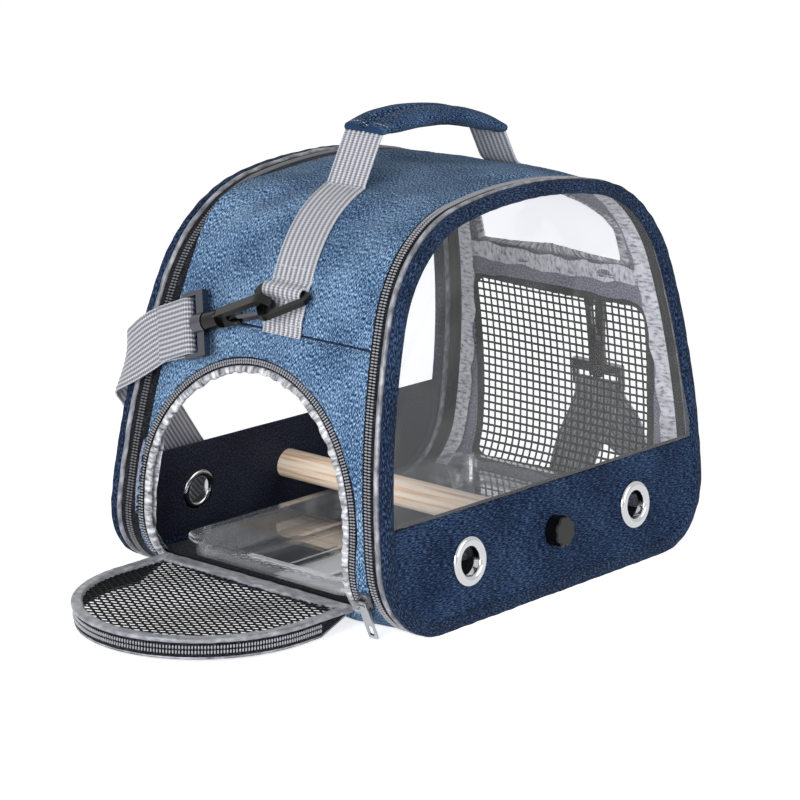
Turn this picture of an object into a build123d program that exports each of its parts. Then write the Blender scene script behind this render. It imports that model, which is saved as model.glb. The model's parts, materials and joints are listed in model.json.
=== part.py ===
from build123d import *
from math import atan2, cos, degrees, radians, sin, sqrt
import os

os.makedirs("parts", exist_ok=True)

# ---------------------------------------------------------------------------------------------
# Bird travel carrier. Millimetres, +Z up, origin on the floor under the middle of the cabin.
# X runs along the carrier from the door end (-X) to the mesh end (+X), and Y across it from the
# front window (-Y) to the back window (+Y).
# ---------------------------------------------------------------------------------------------

# Cabin: an arch carried across the depth, with a front and a back that lean in towards the roof.
LENGTH = 330.0
HEIGHT = 260.0
BASE_DEPTH = 244.0
TOP_DEPTH = 184.0
CORNER_R = 48.0          # bottom corner of the arch
SIDE_R = 453.0           # gentle bulge of each end
SHOULDER_R = 92.7
ROOF_R = 386.0
WALL = 4.0               # padded cloth wall
FLOOR_HALF = LENGTH / 2 - 40  # the floor panel meets the end panels here
SEAM_Z = 176.0           # the end panels meet the roof panel here

# Edge of each flap, counted along the depth from its outer face.
BINDING_W = 9.0          # border seen on the face
BINDING_T = 5.0
PIPING_W = 5.0
FLAP_ZIP_W = {"front": 4.0, "back": 6.0}
FRAME_ZIP_W = {"front": 4.0, "back": 8.7}
ZIP_SPLIT = 0.3          # gap between the two halves of a zip
ZIP_INSET = 0.5          # zip tape below the cloth's surface

# Lower band of each flap
BAND_TOP = 71.0
BAND_INSET = 0.6
BAND_T = 1.8
LINING_T = 2.0
WINDOW_T = 0.8
WINDOW_INSET = 1.8
EYELET_X = 87.0
EYELET_Z = 39.0
EYELET_R = 16.0
EYELET_HOLE_R = 9.0
EYELET_T = 1.2
SEWN_GAP = 0.1           # between cloth and a hard ring set in it

# Perch and knobs
PERCH_R = 10.0
PERCH_Z = 40.0
KNOB_R = 10.0
KNOB_H = 9.0
KNOB_FLUTES = 8
STUD_R = 2.5
STUD_IN = 7.0            # depth of the stud in the perch's socket
SOCKET_R = 4.8
RUN_GAP = 0.3            # between a moving piece and its neighbour

# Tray and base mat
MAT_TOP = 16.8
TRAY_FRONT_X = 16.6 - LENGTH / 2
TRAY_BACK_X = LENGTH / 2 - 20
TRAY_W = 150.0
TRAY_H = 11.2
TRAY_WALL = 1.4
TRAY_RIM = 5.0
TRAY_CORNER_R = 20.0
TRAY_RIBS_Y = (-34.0, 0.0, 34.0)
TRAY_RIB_W = 5.0
TRAY_RIB_H = 2.0

# Door opening in the left end: straight sides under half an ellipse
DOOR_SPRING_Z = 60.0     # where the straight sides end
FRAME_HALF = 92.0
FRAME_RISE = 98.0
FRAME_SILL_Z = 14.0
FRAME_W = 11.4           # at the sides
FRAME_TOP_W = 9.4
FRAME_BINDING_W = 3.4
DOOR_HINGE = (14 - LENGTH / 2, 15.2)
DOOR_GAP = 0.7           # round the closed door
DOOR_BINDING_W = 8.0
DOOR_BINDING_T = 2.4
DOOR_MESH_T = 1.2
DOOR_RIM_H = 11.0
DOOR_RIM_T = 1.6
DOOR_COIL_T = 1.4
DOOR_COIL_H = 5.0

# Mesh opening in the right end
MESH_HALF = 76.0
MESH_LOW = 20.0
MESH_HIGH = 158.0
MESH_CORNER_R = 10.0
MESH_BINDING_W = 5.0
MESH_T = 1.2

# Skylight in the right shoulder of the roof
SKY_HALF = 64.0
SKY_LOW = 184.0
SKY_SPRING = 205.0
SKY_RISE = 35.0
SKY_BINDING_W = 6.0

# Webbing, handle and shoulder strap
WEB_W = 30.0
WEB_T = 1.8
STRAP_W = 36.0
STRAP_T = 1.6
WEB_DRIFT = -14.0        # the left webbing runs a little towards the front on its way down
GRIP_W = 36.0
GRIP_T = 12.0
GRIP_LEFT = (-59.0, 287.0)
GRIP_CROWN = (8.0, 291.5)
GRIP_RIGHT = (67.0, 274.0)
HANDLE_LEFT_X = -74.0
HANDLE_RIGHT_X = 84.0
HANDLE_FOOT = 16.0       # stitched end on the roof, measured along X

# Rings and hooks
RING_HALF = 18.0
RING_DROP = 19.0
RING_WIRE = 4.2
RING_T = 3.6
RING_END_R = 2.6
RING_TIP_R = 5.5
RING_OUT = 6.8           # from the wall to the middle of the bar
LOOP_R = 3.1             # inside of a webbing loop round a ring's bar
HOOK_REACH = 51.6        # from the middle of the swivel to the caught wire
HOOK_T = 6.4
HOOK_SLOT_R = 4.6
HOOK_ARM = 3.8
HOOK_ROOT_X = 14.0
SLOT_ROOT_X = 24.0
SLOT_ROOT_R = 3.0
COLLAR_R = 6.0
COLLAR_FROM = 2.2
PIN_R = 2.5
PIN_GAP = 0.08
FRAME_ARM = 2.6
FRAME_T = 4.8
FRAME_BAR_R = 2.0
FRAME_BACK = 15.0        # strap bar behind the middle of the swivel
SWIVEL_R = 6.6
GATE_T = 3.2
GATE_PIVOT = (24.5, -4.8)
GATE_NOSE = (42.2, -6.0)
GATE_ROOT_R = 1.9
GATE_NOSE_R = 1.7
GATE_PIN_R = 1.1
EYE_REACH = 26.0         # the strap is stitched down on itself this far behind the left bar

# How each set hangs on its end wall, in the wall's own directions: across, up and out
ANCHOR_Z = {"left": 185.0, "right": 171.0}
RING_PLACE = {"left": (14.0, 14.5), "right": (-22.0, 0.0)}
RING_LEAN_DEG = {"left": 40.0, "right": 12.0}
CATCH = {"left": (-6.3, -14.4), "right": (0.0, -19.9)}
CAUGHT_WIRE = {"left": (0.698, -0.716), "right": (1.0, 0.0)}
PULL = {"left": (0.938, 0.334, 0.10), "right": (0.0, 0.99, 0.13)}

# Zip sliders and their pull tabs
SLIDER_L = 12.0
SLIDER_W = 8.5
SLIDER_T = 2.6
SLIDER_GAP = 0.3
BAIL_H = 3.4
TAB_L = 27.0
TAB_W = 7.0
TAB_T = 1.4
TAB_PIN_R = 0.9
TAB_EYE_R = 1.15
TAB_EYE_WALL = 0.65
FLAP_SLIDER_Z = 66.0
DOOR_SLIDER_YZ = (-97.0, 27.0)

# ---------------------------------------------------------------------------------------------
# The arch, and shells and slabs cut from it
# ---------------------------------------------------------------------------------------------
LEAN = (BASE_DEPTH - TOP_DEPTH) / 2 / HEIGHT
LEAN_COS = cos(atan2(LEAN, 1))


def circle_meet(ax, az, ar, bx, bz, br):
    """The meeting point of two circles that lies on the roof side."""
    span = sqrt((bx - ax) ** 2 + (bz - az) ** 2)
    along = (ar**2 - br**2 + span**2) / (2 * span)
    across = sqrt(ar**2 - along**2)
    ux, uz = (bx - ax) / span, (bz - az) / span
    first = (ax + along * ux - across * uz, az + along * uz + across * ux)
    second = (ax + along * ux + across * uz, az + along * uz - across * ux)
    return max(first, second)


ROOF_CENTRE_Z = HEIGHT - ROOF_R
SIDE_CENTRE_X = LENGTH / 2 - SIDE_R
SHOULDER_X, SHOULDER_Z = circle_meet(
    0, ROOF_CENTRE_Z, ROOF_R - SHOULDER_R, SIDE_CENTRE_X, CORNER_R, SIDE_R - SHOULDER_R
)
ROOF_DEG = degrees(atan2(SHOULDER_X, SHOULDER_Z - ROOF_CENTRE_Z))
SIDE_DEG = degrees(atan2(SHOULDER_Z - CORNER_R, SHOULDER_X - SIDE_CENTRE_X))
SHOULDER_DEG = 90 - ROOF_DEG - SIDE_DEG


def half_width(z, inset=0.0):
    """Half the arch's width at a height, on its outline moved in by inset."""
    if z < CORNER_R:
        radius = CORNER_R - inset
        return LENGTH / 2 - CORNER_R + sqrt(max(radius**2 - (CORNER_R - z) ** 2, 0))
    if z < CORNER_R + (SIDE_R - inset) * sin(radians(SIDE_DEG)):
        return SIDE_CENTRE_X + sqrt((SIDE_R - inset) ** 2 - (z - CORNER_R) ** 2)
    return SHOULDER_X + sqrt(max((SHOULDER_R - inset) ** 2 - (z - SHOULDER_Z) ** 2, 0))


def face_y(z, inward=0.0):
    """Distance of the front or back face from the middle, at a height."""
    return BASE_DEPTH / 2 - LEAN * z - inward


def arch_face(inset):
    """The arch's outline, moved in by inset, as a sketch in the XZ plane."""
    with BuildSketch(Plane.XZ) as face:
        with BuildLine():
            roof = JernArc((0, HEIGHT - inset), (1, 0), ROOF_R - inset, -ROOF_DEG)
            shoulder = JernArc(roof @ 1, roof % 1, SHOULDER_R - inset, -SHOULDER_DEG)
            side = JernArc(shoulder @ 1, shoulder % 1, SIDE_R - inset, -SIDE_DEG)
            corner = JernArc(side @ 1, side % 1, CORNER_R - inset, -90)
            Line(corner @ 1, (0, inset))
            mirror(about=Plane.YZ)
        make_face()
    return face.sketch


def arch_block(inset):
    """The arch carried right across the depth."""
    with BuildPart() as block:
        extrude(arch_face(inset), amount=BASE_DEPTH, both=True)
    return block.part


def arch_shell(outer, inner):
    """A wall that follows the arch, between two insets."""
    with BuildPart() as shell:
        add(arch_block(outer))
        add(arch_block(inner), mode=Mode.SUBTRACT)
    return shell.part


def between_faces(front_in, back_in):
    """All that lies inside the leaning faces, moved in by the two amounts."""
    low, high = -HEIGHT, 2 * HEIGHT
    with BuildPart() as block:
        with BuildSketch(Plane.YZ):
            with BuildLine():
                Polyline(
                    (-face_y(low, front_in), low),
                    (face_y(low, back_in), low),
                    (face_y(high, back_in), high),
                    (-face_y(high, front_in), high),
                    close=True,
                )
            make_face()
        extrude(amount=LENGTH, both=True)
    return block.part


def face_slab(side, outer_in, inner_in):
    """A slab parallel to the front (side -1) or the back (side 1) face."""
    low, high = -HEIGHT, 2 * HEIGHT
    with BuildPart() as block:
        with BuildSketch(Plane.YZ):
            with BuildLine():
                Polyline(
                    (side * face_y(low, outer_in), low),
                    (side * face_y(low, inner_in), low),
                    (side * face_y(high, inner_in), high),
                    (side * face_y(high, outer_in), high),
                    close=True,
                )
            make_face()
        extrude(amount=LENGTH, both=True)
    return block.part


def block_between(low, high):
    """A box from its lowest to its highest corner."""
    with BuildPart() as block:
        with Locations([tuple((a + b) / 2 for a, b in zip(low, high))]):
            Box(*(b - a for a, b in zip(low, high)))
    return block.part


def door_outline(half, rise, sill, spring=DOOR_SPRING_Z):
    """Straight sides under half an ellipse, in the YZ plane."""
    with BuildSketch(Plane.YZ) as outline:
        with Locations((0, spring)):
            Ellipse(half, rise)
        with Locations((0, (sill + spring) / 2)):
            Rectangle(2 * half, spring - sill)
        with Locations((0, (sill - HEIGHT) / 2)):
            Rectangle(4 * half, sill + HEIGHT, mode=Mode.SUBTRACT)
    return outline.sketch


def end_block(outline, side):
    """An outline of the YZ plane carried out through one end of the carrier."""
    with BuildPart() as block:
        extrude(outline, amount=side * LENGTH)
    return block.part


def save(part, name):
    part.label = name
    export_step(part, f"parts/{name}.step")
    print(f"{name:28s} {part.volume / 1000:9.2f} cm3")


FAR = 2 * LENGTH
DEPTHS = {
    side: BINDING_T + PIPING_W + FLAP_ZIP_W[side] + ZIP_SPLIT + FRAME_ZIP_W[side]
    for side in ("front", "back")
}
HINGE_DEPTH = BINDING_T + PIPING_W + RUN_GAP
MAT_EDGE = {
    side: BINDING_T + PIPING_W + FLAP_ZIP_W[side] + ZIP_SPLIT for side in ("front", "back")
}

# ---------------------------------------------------------------------------------------------
# Shell
# ---------------------------------------------------------------------------------------------
wall_ring = arch_shell(0, WALL)
between_zips = between_faces(DEPTHS["front"], DEPTHS["back"])

with BuildPart() as floor_panel:
    add(wall_ring)
    add(between_faces(HINGE_DEPTH, HINGE_DEPTH), mode=Mode.INTERSECT)
    add(block_between((-FLOOR_HALF, -FAR, -FAR), (FLOOR_HALF, FAR, CORNER_R)), mode=Mode.INTERSECT)
save(floor_panel.part, "floor_panel")

with BuildPart() as base_mat:
    add(arch_block(WALL))
    add(between_faces(MAT_EDGE["front"], MAT_EDGE["back"]), mode=Mode.INTERSECT)
    add(block_between((-FAR, -FAR, 0), (FAR, FAR, MAT_TOP)), mode=Mode.INTERSECT)
save(base_mat.part, "base_mat")

with BuildPart() as left_end_panel:
    add(wall_ring)
    add(between_zips, mode=Mode.INTERSECT)
    add(block_between((-FAR, -FAR, -FAR), (-FLOOR_HALF, FAR, SEAM_Z)), mode=Mode.INTERSECT)
    add(end_block(door_outline(FRAME_HALF, FRAME_RISE, FRAME_SILL_Z), -1), mode=Mode.SUBTRACT)
save(left_end_panel.part, "left_end_panel")


def mesh_outline(inset):
    with BuildSketch(Plane.YZ) as outline:
        with Locations((0, (MESH_LOW + MESH_HIGH) / 2)):
            RectangleRounded(
                2 * (MESH_HALF - inset), MESH_HIGH - MESH_LOW - 2 * inset, MESH_CORNER_R - inset
            )
    return outline.sketch


with BuildPart() as right_end_panel:
    add(wall_ring)
    add(between_zips, mode=Mode.INTERSECT)
    add(block_between((FLOOR_HALF, -FAR, -FAR), (FAR, FAR, SEAM_Z)), mode=Mode.INTERSECT)
    add(end_block(mesh_outline(0), 1), mode=Mode.SUBTRACT)
save(right_end_panel.part, "right_end_panel")

with BuildPart() as right_mesh_binding:
    add(arch_shell(ZIP_INSET, WALL - ZIP_INSET))
    add(end_block(mesh_outline(0), 1), mode=Mode.INTERSECT)
    add(end_block(mesh_outline(MESH_BINDING_W), 1), mode=Mode.SUBTRACT)
save(right_mesh_binding.part, "right_mesh_binding")

with BuildPart() as right_mesh:
    add(arch_shell(WALL / 2 - MESH_T / 2, WALL / 2 + MESH_T / 2))
    add(end_block(mesh_outline(MESH_BINDING_W), 1), mode=Mode.INTERSECT)
save(right_mesh.part, "right_mesh")


def sky_outline(inset):
    return door_outline(SKY_HALF - inset, SKY_RISE - inset, SKY_LOW + inset, SKY_SPRING)


with BuildPart() as roof_panel:
    add(wall_ring)
    add(between_zips, mode=Mode.INTERSECT)
    add(block_between((-FAR, -FAR, SEAM_Z), (FAR, FAR, FAR)), mode=Mode.INTERSECT)
    add(end_block(sky_outline(0), 1), mode=Mode.SUBTRACT)
save(roof_panel.part, "roof_panel")

with BuildPart() as skylight_binding:
    add(arch_shell(ZIP_INSET, WALL - ZIP_INSET))
    add(end_block(sky_outline(0), 1), mode=Mode.INTERSECT)
    add(end_block(sky_outline(SKY_BINDING_W), 1), mode=Mode.SUBTRACT)
save(skylight_binding.part, "skylight_binding")

with BuildPart() as skylight_window:
    add(arch_shell(WALL / 2 - WINDOW_T / 2, WALL / 2 + WINDOW_T / 2))
    add(end_block(sky_outline(SKY_BINDING_W), 1), mode=Mode.INTERSECT)
save(skylight_window.part, "skylight_window")

# ---------------------------------------------------------------------------------------------
# Front and back flaps
# ---------------------------------------------------------------------------------------------


def ring_at(side_sign, outer, inner, from_depth, to_depth, open_floor=False):
    """An arch ring that lies between two depths behind one face, open under the floor if asked."""
    with BuildPart() as ring:
        add(arch_shell(outer, inner))
        add(face_slab(side_sign, from_depth, to_depth), mode=Mode.INTERSECT)
        if open_floor:
            add(
                block_between((-FLOOR_HALF, -FAR, -FAR), (FLOOR_HALF, FAR, CORNER_R)),
                mode=Mode.SUBTRACT,
            )
    return ring.part


def panel_plane(side_sign, x, z):
    """A plane on one face of the carrier, with its normal pointing out of the cabin."""
    return Plane(
        origin=(x, side_sign * face_y(z), z),
        x_dir=(-side_sign, 0, 0),
        z_dir=(0, side_sign, LEAN),
    )


def lower_band(side_sign, from_depth, to_depth, eyelet_hole, stud_hole):
    """The lower band of a flap: flat cloth with holes for the eyelets and for the knob's stud."""
    with BuildPart() as band:
        add(arch_block(BINDING_W))
        add(face_slab(side_sign, from_depth, to_depth), mode=Mode.INTERSECT)
        add(block_between((-FAR, -FAR, 0), (FAR, FAR, BAND_TOP)), mode=Mode.INTERSECT)
        for x in (-EYELET_X, EYELET_X):
            with BuildSketch(panel_plane(side_sign, x, EYELET_Z)):
                Circle(eyelet_hole)
            extrude(amount=2 * BINDING_T, both=True, mode=Mode.SUBTRACT)
        with BuildSketch(panel_plane(side_sign, 0, PERCH_Z)):
            Circle(stud_hole)
        extrude(amount=2 * BINDING_T, both=True, mode=Mode.SUBTRACT)
    return band.part


def eyelets(side_sign):
    """Two rolled metal rings, each with a flange on both sides of the band."""
    seat = -BAND_INSET * LEAN_COS
    flange_out = seat + EYELET_T
    flange_in = -(BAND_INSET + BAND_T + LINING_T) * LEAN_COS
    with BuildPart() as rings:
        for x in (-EYELET_X, EYELET_X):
            place = panel_plane(side_sign, x, EYELET_Z)
            section = Plane(origin=place.origin, x_dir=place.x_dir, z_dir=-place.y_dir)
            with BuildSketch(section):
                with BuildLine():
                    Polyline(
                        (EYELET_HOLE_R, flange_in - EYELET_T),
                        (EYELET_R - 2, flange_in - EYELET_T),
                        (EYELET_R - 2, flange_in),
                        (EYELET_HOLE_R + EYELET_T, flange_in),
                        (EYELET_HOLE_R + EYELET_T, seat),
                        (EYELET_R, seat),
                        (EYELET_R - EYELET_T, flange_out),
                        (EYELET_HOLE_R, flange_out),
                        close=True,
                    )
                make_face()
            revolve(axis=Axis(place.origin, place.z_dir))
    return rings.part


def knob(side_sign):
    """A fluted screw knob whose stud reaches through the band into the perch's end."""
    place = panel_plane(side_sign, 0, PERCH_Z)
    seat = -BAND_INSET + SEWN_GAP
    with BuildPart() as turned:
        with BuildSketch(place.offset(seat)):
            Circle(KNOB_R)
            with PolarLocations(KNOB_R + 2.6, KNOB_FLUTES):
                Circle(3.6, mode=Mode.SUBTRACT)
        extrude(amount=KNOB_H)
        chamfer(turned.faces().sort_by(Axis(place.origin, place.z_dir))[-1].edges(), 0.9)
        with BuildSketch(place.offset(seat)):
            Circle(KNOB_R + 0.4)
        extrude(amount=1.6)
        with BuildSketch(place.offset(seat)):
            Circle(STUD_R)
        extrude(amount=-(seat + BAND_INSET + BAND_T + LINING_T + RUN_GAP + STUD_IN))
    return turned.part


for side_name, side_sign in (("front", -1), ("back", 1)):
    zip_from = BINDING_T + PIPING_W
    zip_mid = zip_from + FLAP_ZIP_W[side_name]
    save(ring_at(side_sign, 0, BINDING_W, 0, BINDING_T), f"{side_name}_binding")
    save(ring_at(side_sign, 0, PIPING_W, BINDING_T, zip_from), f"{side_name}_piping")
    save(
        ring_at(side_sign, ZIP_INSET, WALL, zip_from, zip_mid, True),
        f"{side_name}_flap_zip",
    )
    with BuildPart() as frame_zip:
        add(ring_at(side_sign, ZIP_INSET, WALL, zip_mid + ZIP_SPLIT, DEPTHS[side_name], True))
        add(end_block(door_outline(FRAME_HALF, FRAME_RISE, FRAME_SILL_Z), -1), mode=Mode.SUBTRACT)
    save(frame_zip.part, f"{side_name}_frame_zip")
    band_back = BAND_INSET + BAND_T
    hole = EYELET_HOLE_R + EYELET_T + SEWN_GAP
    save(
        lower_band(side_sign, BAND_INSET, band_back, hole, STUD_R + SEWN_GAP), f"{side_name}_band"
    )
    save(
        lower_band(side_sign, band_back, band_back + LINING_T, hole, STUD_R + SEWN_GAP),
        f"{side_name}_band_lining",
    )
    save(eyelets(side_sign), f"{side_name}_eyelets")
    save(knob(side_sign), f"{side_name}_knob")
    with BuildPart() as window:
        add(arch_block(BINDING_W))
        add(face_slab(side_sign, WINDOW_INSET, WINDOW_INSET + WINDOW_T), mode=Mode.INTERSECT)
        add(block_between((-FAR, -FAR, BAND_TOP), (FAR, FAR, FAR)), mode=Mode.INTERSECT)
    save(window.part, f"{side_name}_window")

# ---------------------------------------------------------------------------------------------
# Perch and tray
# ---------------------------------------------------------------------------------------------
perch_end = BAND_INSET + BAND_T + LINING_T + RUN_GAP
with BuildPart() as perch:
    with BuildSketch(Plane.XZ):
        with Locations((0, PERCH_Z)):
            Circle(PERCH_R)
    extrude(amount=BASE_DEPTH, both=True)
    add(between_faces(perch_end, perch_end), mode=Mode.INTERSECT)
    for side_sign in (-1, 1):
        with BuildSketch(panel_plane(side_sign, 0, PERCH_Z).offset(-perch_end + 1)):
            Circle(SOCKET_R)
        extrude(amount=-(STUD_IN + 2), mode=Mode.SUBTRACT)
save(perch.part, "perch")

tray_low = MAT_TOP + RUN_GAP
tray_length = TRAY_BACK_X - TRAY_FRONT_X
tray_mid_x = (TRAY_BACK_X + TRAY_FRONT_X) / 2
with BuildPart() as tray:
    with BuildSketch(Plane.XY.offset(tray_low)):
        with Locations((tray_mid_x, 0)):
            RectangleRounded(
                tray_length - 2 * TRAY_RIM, TRAY_W - 2 * TRAY_RIM, TRAY_CORNER_R - TRAY_RIM
            )
    extrude(amount=TRAY_H)
    with BuildSketch(Plane.XY.offset(tray_low + TRAY_H - TRAY_WALL)):
        with Locations((tray_mid_x, 0)):
            RectangleRounded(tray_length, TRAY_W, TRAY_CORNER_R)
    extrude(amount=TRAY_WALL)
    with BuildSketch(Plane.XY.offset(tray_low + TRAY_WALL)):
        with Locations((tray_mid_x, 0)):
            RectangleRounded(
                tray_length - 2 * TRAY_RIM - 2 * TRAY_WALL,
                TRAY_W - 2 * TRAY_RIM - 2 * TRAY_WALL,
                TRAY_CORNER_R - TRAY_RIM - TRAY_WALL,
            )
    extrude(amount=TRAY_H, mode=Mode.SUBTRACT)
    with BuildSketch(Plane.XY.offset(tray_low + TRAY_WALL)):
        with Locations([(tray_mid_x, y) for y in TRAY_RIBS_Y]):
            SlotOverall(tray_length - 2 * TRAY_RIM - 2 * TRAY_CORNER_R, TRAY_RIB_W)
    extrude(amount=TRAY_RIB_H)
save(tray.part, "tray")

# ---------------------------------------------------------------------------------------------
# Door, modelled open and level, hinged along the sill
# ---------------------------------------------------------------------------------------------
frame_in_half = FRAME_HALF - FRAME_W
frame_in_rise = FRAME_RISE - FRAME_TOP_W


def frame_ring(outer_in, inner_in, outer_half, outer_rise, inner_half, inner_rise):
    """A ring round the door opening that follows the left end of the arch."""
    with BuildPart() as ring:
        add(arch_shell(outer_in, inner_in))
        add(end_block(door_outline(outer_half, outer_rise, FRAME_SILL_Z), -1), mode=Mode.INTERSECT)
        add(end_block(door_outline(inner_half, inner_rise, 0), -1), mode=Mode.SUBTRACT)
    return ring.part


save(
    frame_ring(
        ZIP_INSET,
        WALL,
        FRAME_HALF,
        FRAME_RISE,
        frame_in_half + FRAME_BINDING_W,
        frame_in_rise + FRAME_BINDING_W,
    ),
    "door_frame_zip",
)
save(
    frame_ring(
        WALL / 2,
        WALL,
        frame_in_half + FRAME_BINDING_W,
        frame_in_rise + FRAME_BINDING_W,
        frame_in_half,
        frame_in_rise,
    ),
    "door_frame_binding",
)

door_half = frame_in_half - DOOR_GAP
door_straight = DOOR_SPRING_Z - DOOR_HINGE[1]
door_rise = frame_in_rise - DOOR_GAP


def door_shape(inset, base_inset=0.0):
    """The door's outline moved in by inset, in the XY plane, running out from its hinge."""
    base = DOOR_HINGE[0] - RUN_GAP - base_inset
    spring = DOOR_HINGE[0] - door_straight
    with BuildSketch(Plane.XY) as outline:
        with Locations((spring, 0)):
            Ellipse(door_rise - inset, door_half - inset)
        with Locations(((base + spring) / 2, 0)):
            Rectangle(base - spring, 2 * (door_half - inset))
        with Locations((base + LENGTH / 2, 0)):
            Rectangle(LENGTH, LENGTH, mode=Mode.SUBTRACT)
    return outline.sketch


def door_layer(outer_inset, inner_inset, low, high, base_inset=0.0, filled=False):
    """A flat layer of the open door between two heights, as a ring or filled in."""
    with BuildPart() as layer:
        extrude(door_shape(outer_inset).moved(Location((0, 0, low))), amount=high - low)
        if not filled:
            add(
                block_of(door_shape(inner_inset, base_inset), low - 1, high + 1),
                mode=Mode.SUBTRACT,
            )
    return layer.part


def block_of(sketch, low, high):
    with BuildPart() as block:
        extrude(sketch.moved(Location((0, 0, low))), amount=high - low)
    return block.part


door_top = DOOR_HINGE[1] + DOOR_BINDING_T / 2
door_low = DOOR_HINGE[1] - DOOR_BINDING_T / 2
save(
    door_layer(0, DOOR_BINDING_W, door_low, door_top, base_inset=DOOR_BINDING_W), "door_binding"
)

with BuildPart() as door_mesh:
    add(
        block_of(
            door_shape(DOOR_BINDING_W, DOOR_BINDING_W),
            DOOR_HINGE[1] - DOOR_MESH_T / 2,
            DOOR_HINGE[1] + DOOR_MESH_T / 2,
        )
    )
save(door_mesh.part, "door_mesh")

rim_low = door_low - DOOR_RIM_H
with BuildPart() as rim_wedge:
    with BuildSketch(Plane.XZ):
        with BuildLine():
            Polyline(
                (DOOR_HINGE[0] + 1, door_low - 0.8),
                (DOOR_HINGE[0] - 4, door_low - 0.8),
                (DOOR_HINGE[0] - 30, rim_low - 1),
                (DOOR_HINGE[0] + 1, rim_low - 1),
                close=True,
            )
        make_face()
    extrude(amount=LENGTH, both=True)

with BuildPart() as door_rim:
    add(door_layer(DOOR_COIL_T, DOOR_COIL_T + DOOR_RIM_T, rim_low, door_low, base_inset=-4))
    add(rim_wedge.part, mode=Mode.SUBTRACT)
save(door_rim.part, "door_rim")

coil_mid = door_low - DOOR_RIM_H / 2
with BuildPart() as door_coil:
    add(
        door_layer(
            0, DOOR_COIL_T, coil_mid - DOOR_COIL_H / 2, coil_mid + DOOR_COIL_H / 2, base_inset=-4
        )
    )
    add(rim_wedge.part, mode=Mode.SUBTRACT)
save(door_coil.part, "door_coil")

# ---------------------------------------------------------------------------------------------
# Zip sliders and pull tabs
# ---------------------------------------------------------------------------------------------


def slider_body(place):
    """A slider seen from outside: a plate on the zip with a bail on top. Its x axis is across."""
    with BuildPart() as body:
        with BuildSketch(place):
            RectangleRounded(SLIDER_W, SLIDER_L, 2.4)
        extrude(amount=SLIDER_T)
        for x in (-1, 1):
            with BuildSketch(place.offset(SLIDER_T)):
                with Locations((x * (TAB_W / 2 - 0.2), 0)):
                    Rectangle(1.4, 5.0)
            extrude(amount=BAIL_H)
        pin_plane = Plane(
            origin=place.from_local_coords(Vector(-TAB_W / 2, 0, SLIDER_T + BAIL_H - 1.4)),
            x_dir=place.y_dir,
            z_dir=place.x_dir,
        )
        with BuildSketch(pin_plane):
            Circle(TAB_PIN_R)
        extrude(amount=TAB_W)
    return body.part


def pull_tab(place):
    """The tab that hangs from the slider's bail pin, along its plane's -y, with a window at its end."""
    height = SLIDER_T + BAIL_H - 1.4
    eye_half = TAB_W / 2 - 1.1
    with BuildPart() as tab:
        with BuildSketch(place.offset(height - TAB_T / 2)):
            with Locations((0, -TAB_L / 2)):
                RectangleRounded(TAB_W, TAB_L, 1.5)
            with Locations((0, -TAB_L + 6.5)):
                RectangleRounded(TAB_W - 3.2, 7.5, 1.0, mode=Mode.SUBTRACT)
            with Locations((0, 0)):
                Rectangle(TAB_W + 2, 6.6, mode=Mode.SUBTRACT)
        extrude(amount=TAB_T)
        with BuildSketch(place.offset(height - TAB_T / 2)):
            with Locations((0, -2.6)):
                Rectangle(2 * eye_half, 4.2)
        extrude(amount=TAB_T)
        eye_plane = Plane(
            origin=place.from_local_coords(Vector(-eye_half, 0, height)),
            x_dir=place.y_dir,
            z_dir=place.x_dir,
        )
        with BuildSketch(eye_plane):
            Circle(TAB_EYE_R + TAB_EYE_WALL)
        extrude(amount=2 * eye_half)
        with BuildSketch(eye_plane.offset(-1)):
            Circle(TAB_EYE_R)
        extrude(amount=2 * eye_half + 2, mode=Mode.SUBTRACT)
    return tab.part


def end_plane(side_sign, y, z, stand_off):
    """A plane on an end of the arch: its normal points out and its y axis up along the wall."""
    step = 0.5
    rise = half_width(z + step) - half_width(z - step)
    normal = Vector(side_sign * 2 * step, 0, -rise).normalized()
    place = Vector(side_sign * half_width(z), y, z) + normal * stand_off
    return Plane(origin=place, x_dir=(0, side_sign, 0), z_dir=normal)


door_slider_plane = end_plane(-1, *DOOR_SLIDER_YZ, SLIDER_GAP)
save(slider_body(door_slider_plane), "door_slider")
save(pull_tab(door_slider_plane), "door_pull")
for side_name, side_sign in (("front", -1), ("back", 1)):
    split_depth = BINDING_T + PIPING_W + FLAP_ZIP_W[side_name]
    split_y = side_sign * face_y(FLAP_SLIDER_Z, split_depth)
    slider_plane = end_plane(1, split_y, FLAP_SLIDER_Z, SLIDER_GAP)
    save(slider_body(slider_plane), f"{side_name}_slider")
    save(pull_tab(slider_plane), f"{side_name}_pull")

# ---------------------------------------------------------------------------------------------
# Handle: one webbing from roof to roof, inside a padded grip
# ---------------------------------------------------------------------------------------------


def roof_at(x, lift):
    """A point over the roof at a distance from the middle, lifted off the surface."""
    if abs(x) < ROOF_R * sin(radians(ROOF_DEG)):
        return (x, ROOF_CENTRE_Z + sqrt((ROOF_R + lift) ** 2 - x**2))
    return (x, SHOULDER_Z + sqrt((SHOULDER_R + lift) ** 2 - (abs(x) - SHOULDER_X) ** 2))


def grip_band(thickness):
    """The grip's line as a closed band of a thickness, in the XZ plane."""
    with BuildSketch(Plane.XZ) as band:
        with BuildLine():
            ThreePointArc(GRIP_LEFT, GRIP_CROWN, GRIP_RIGHT)
            offset(amount=thickness / 2, kind=Kind.INTERSECTION, side=Side.BOTH)
        make_face()
    return band.sketch


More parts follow.
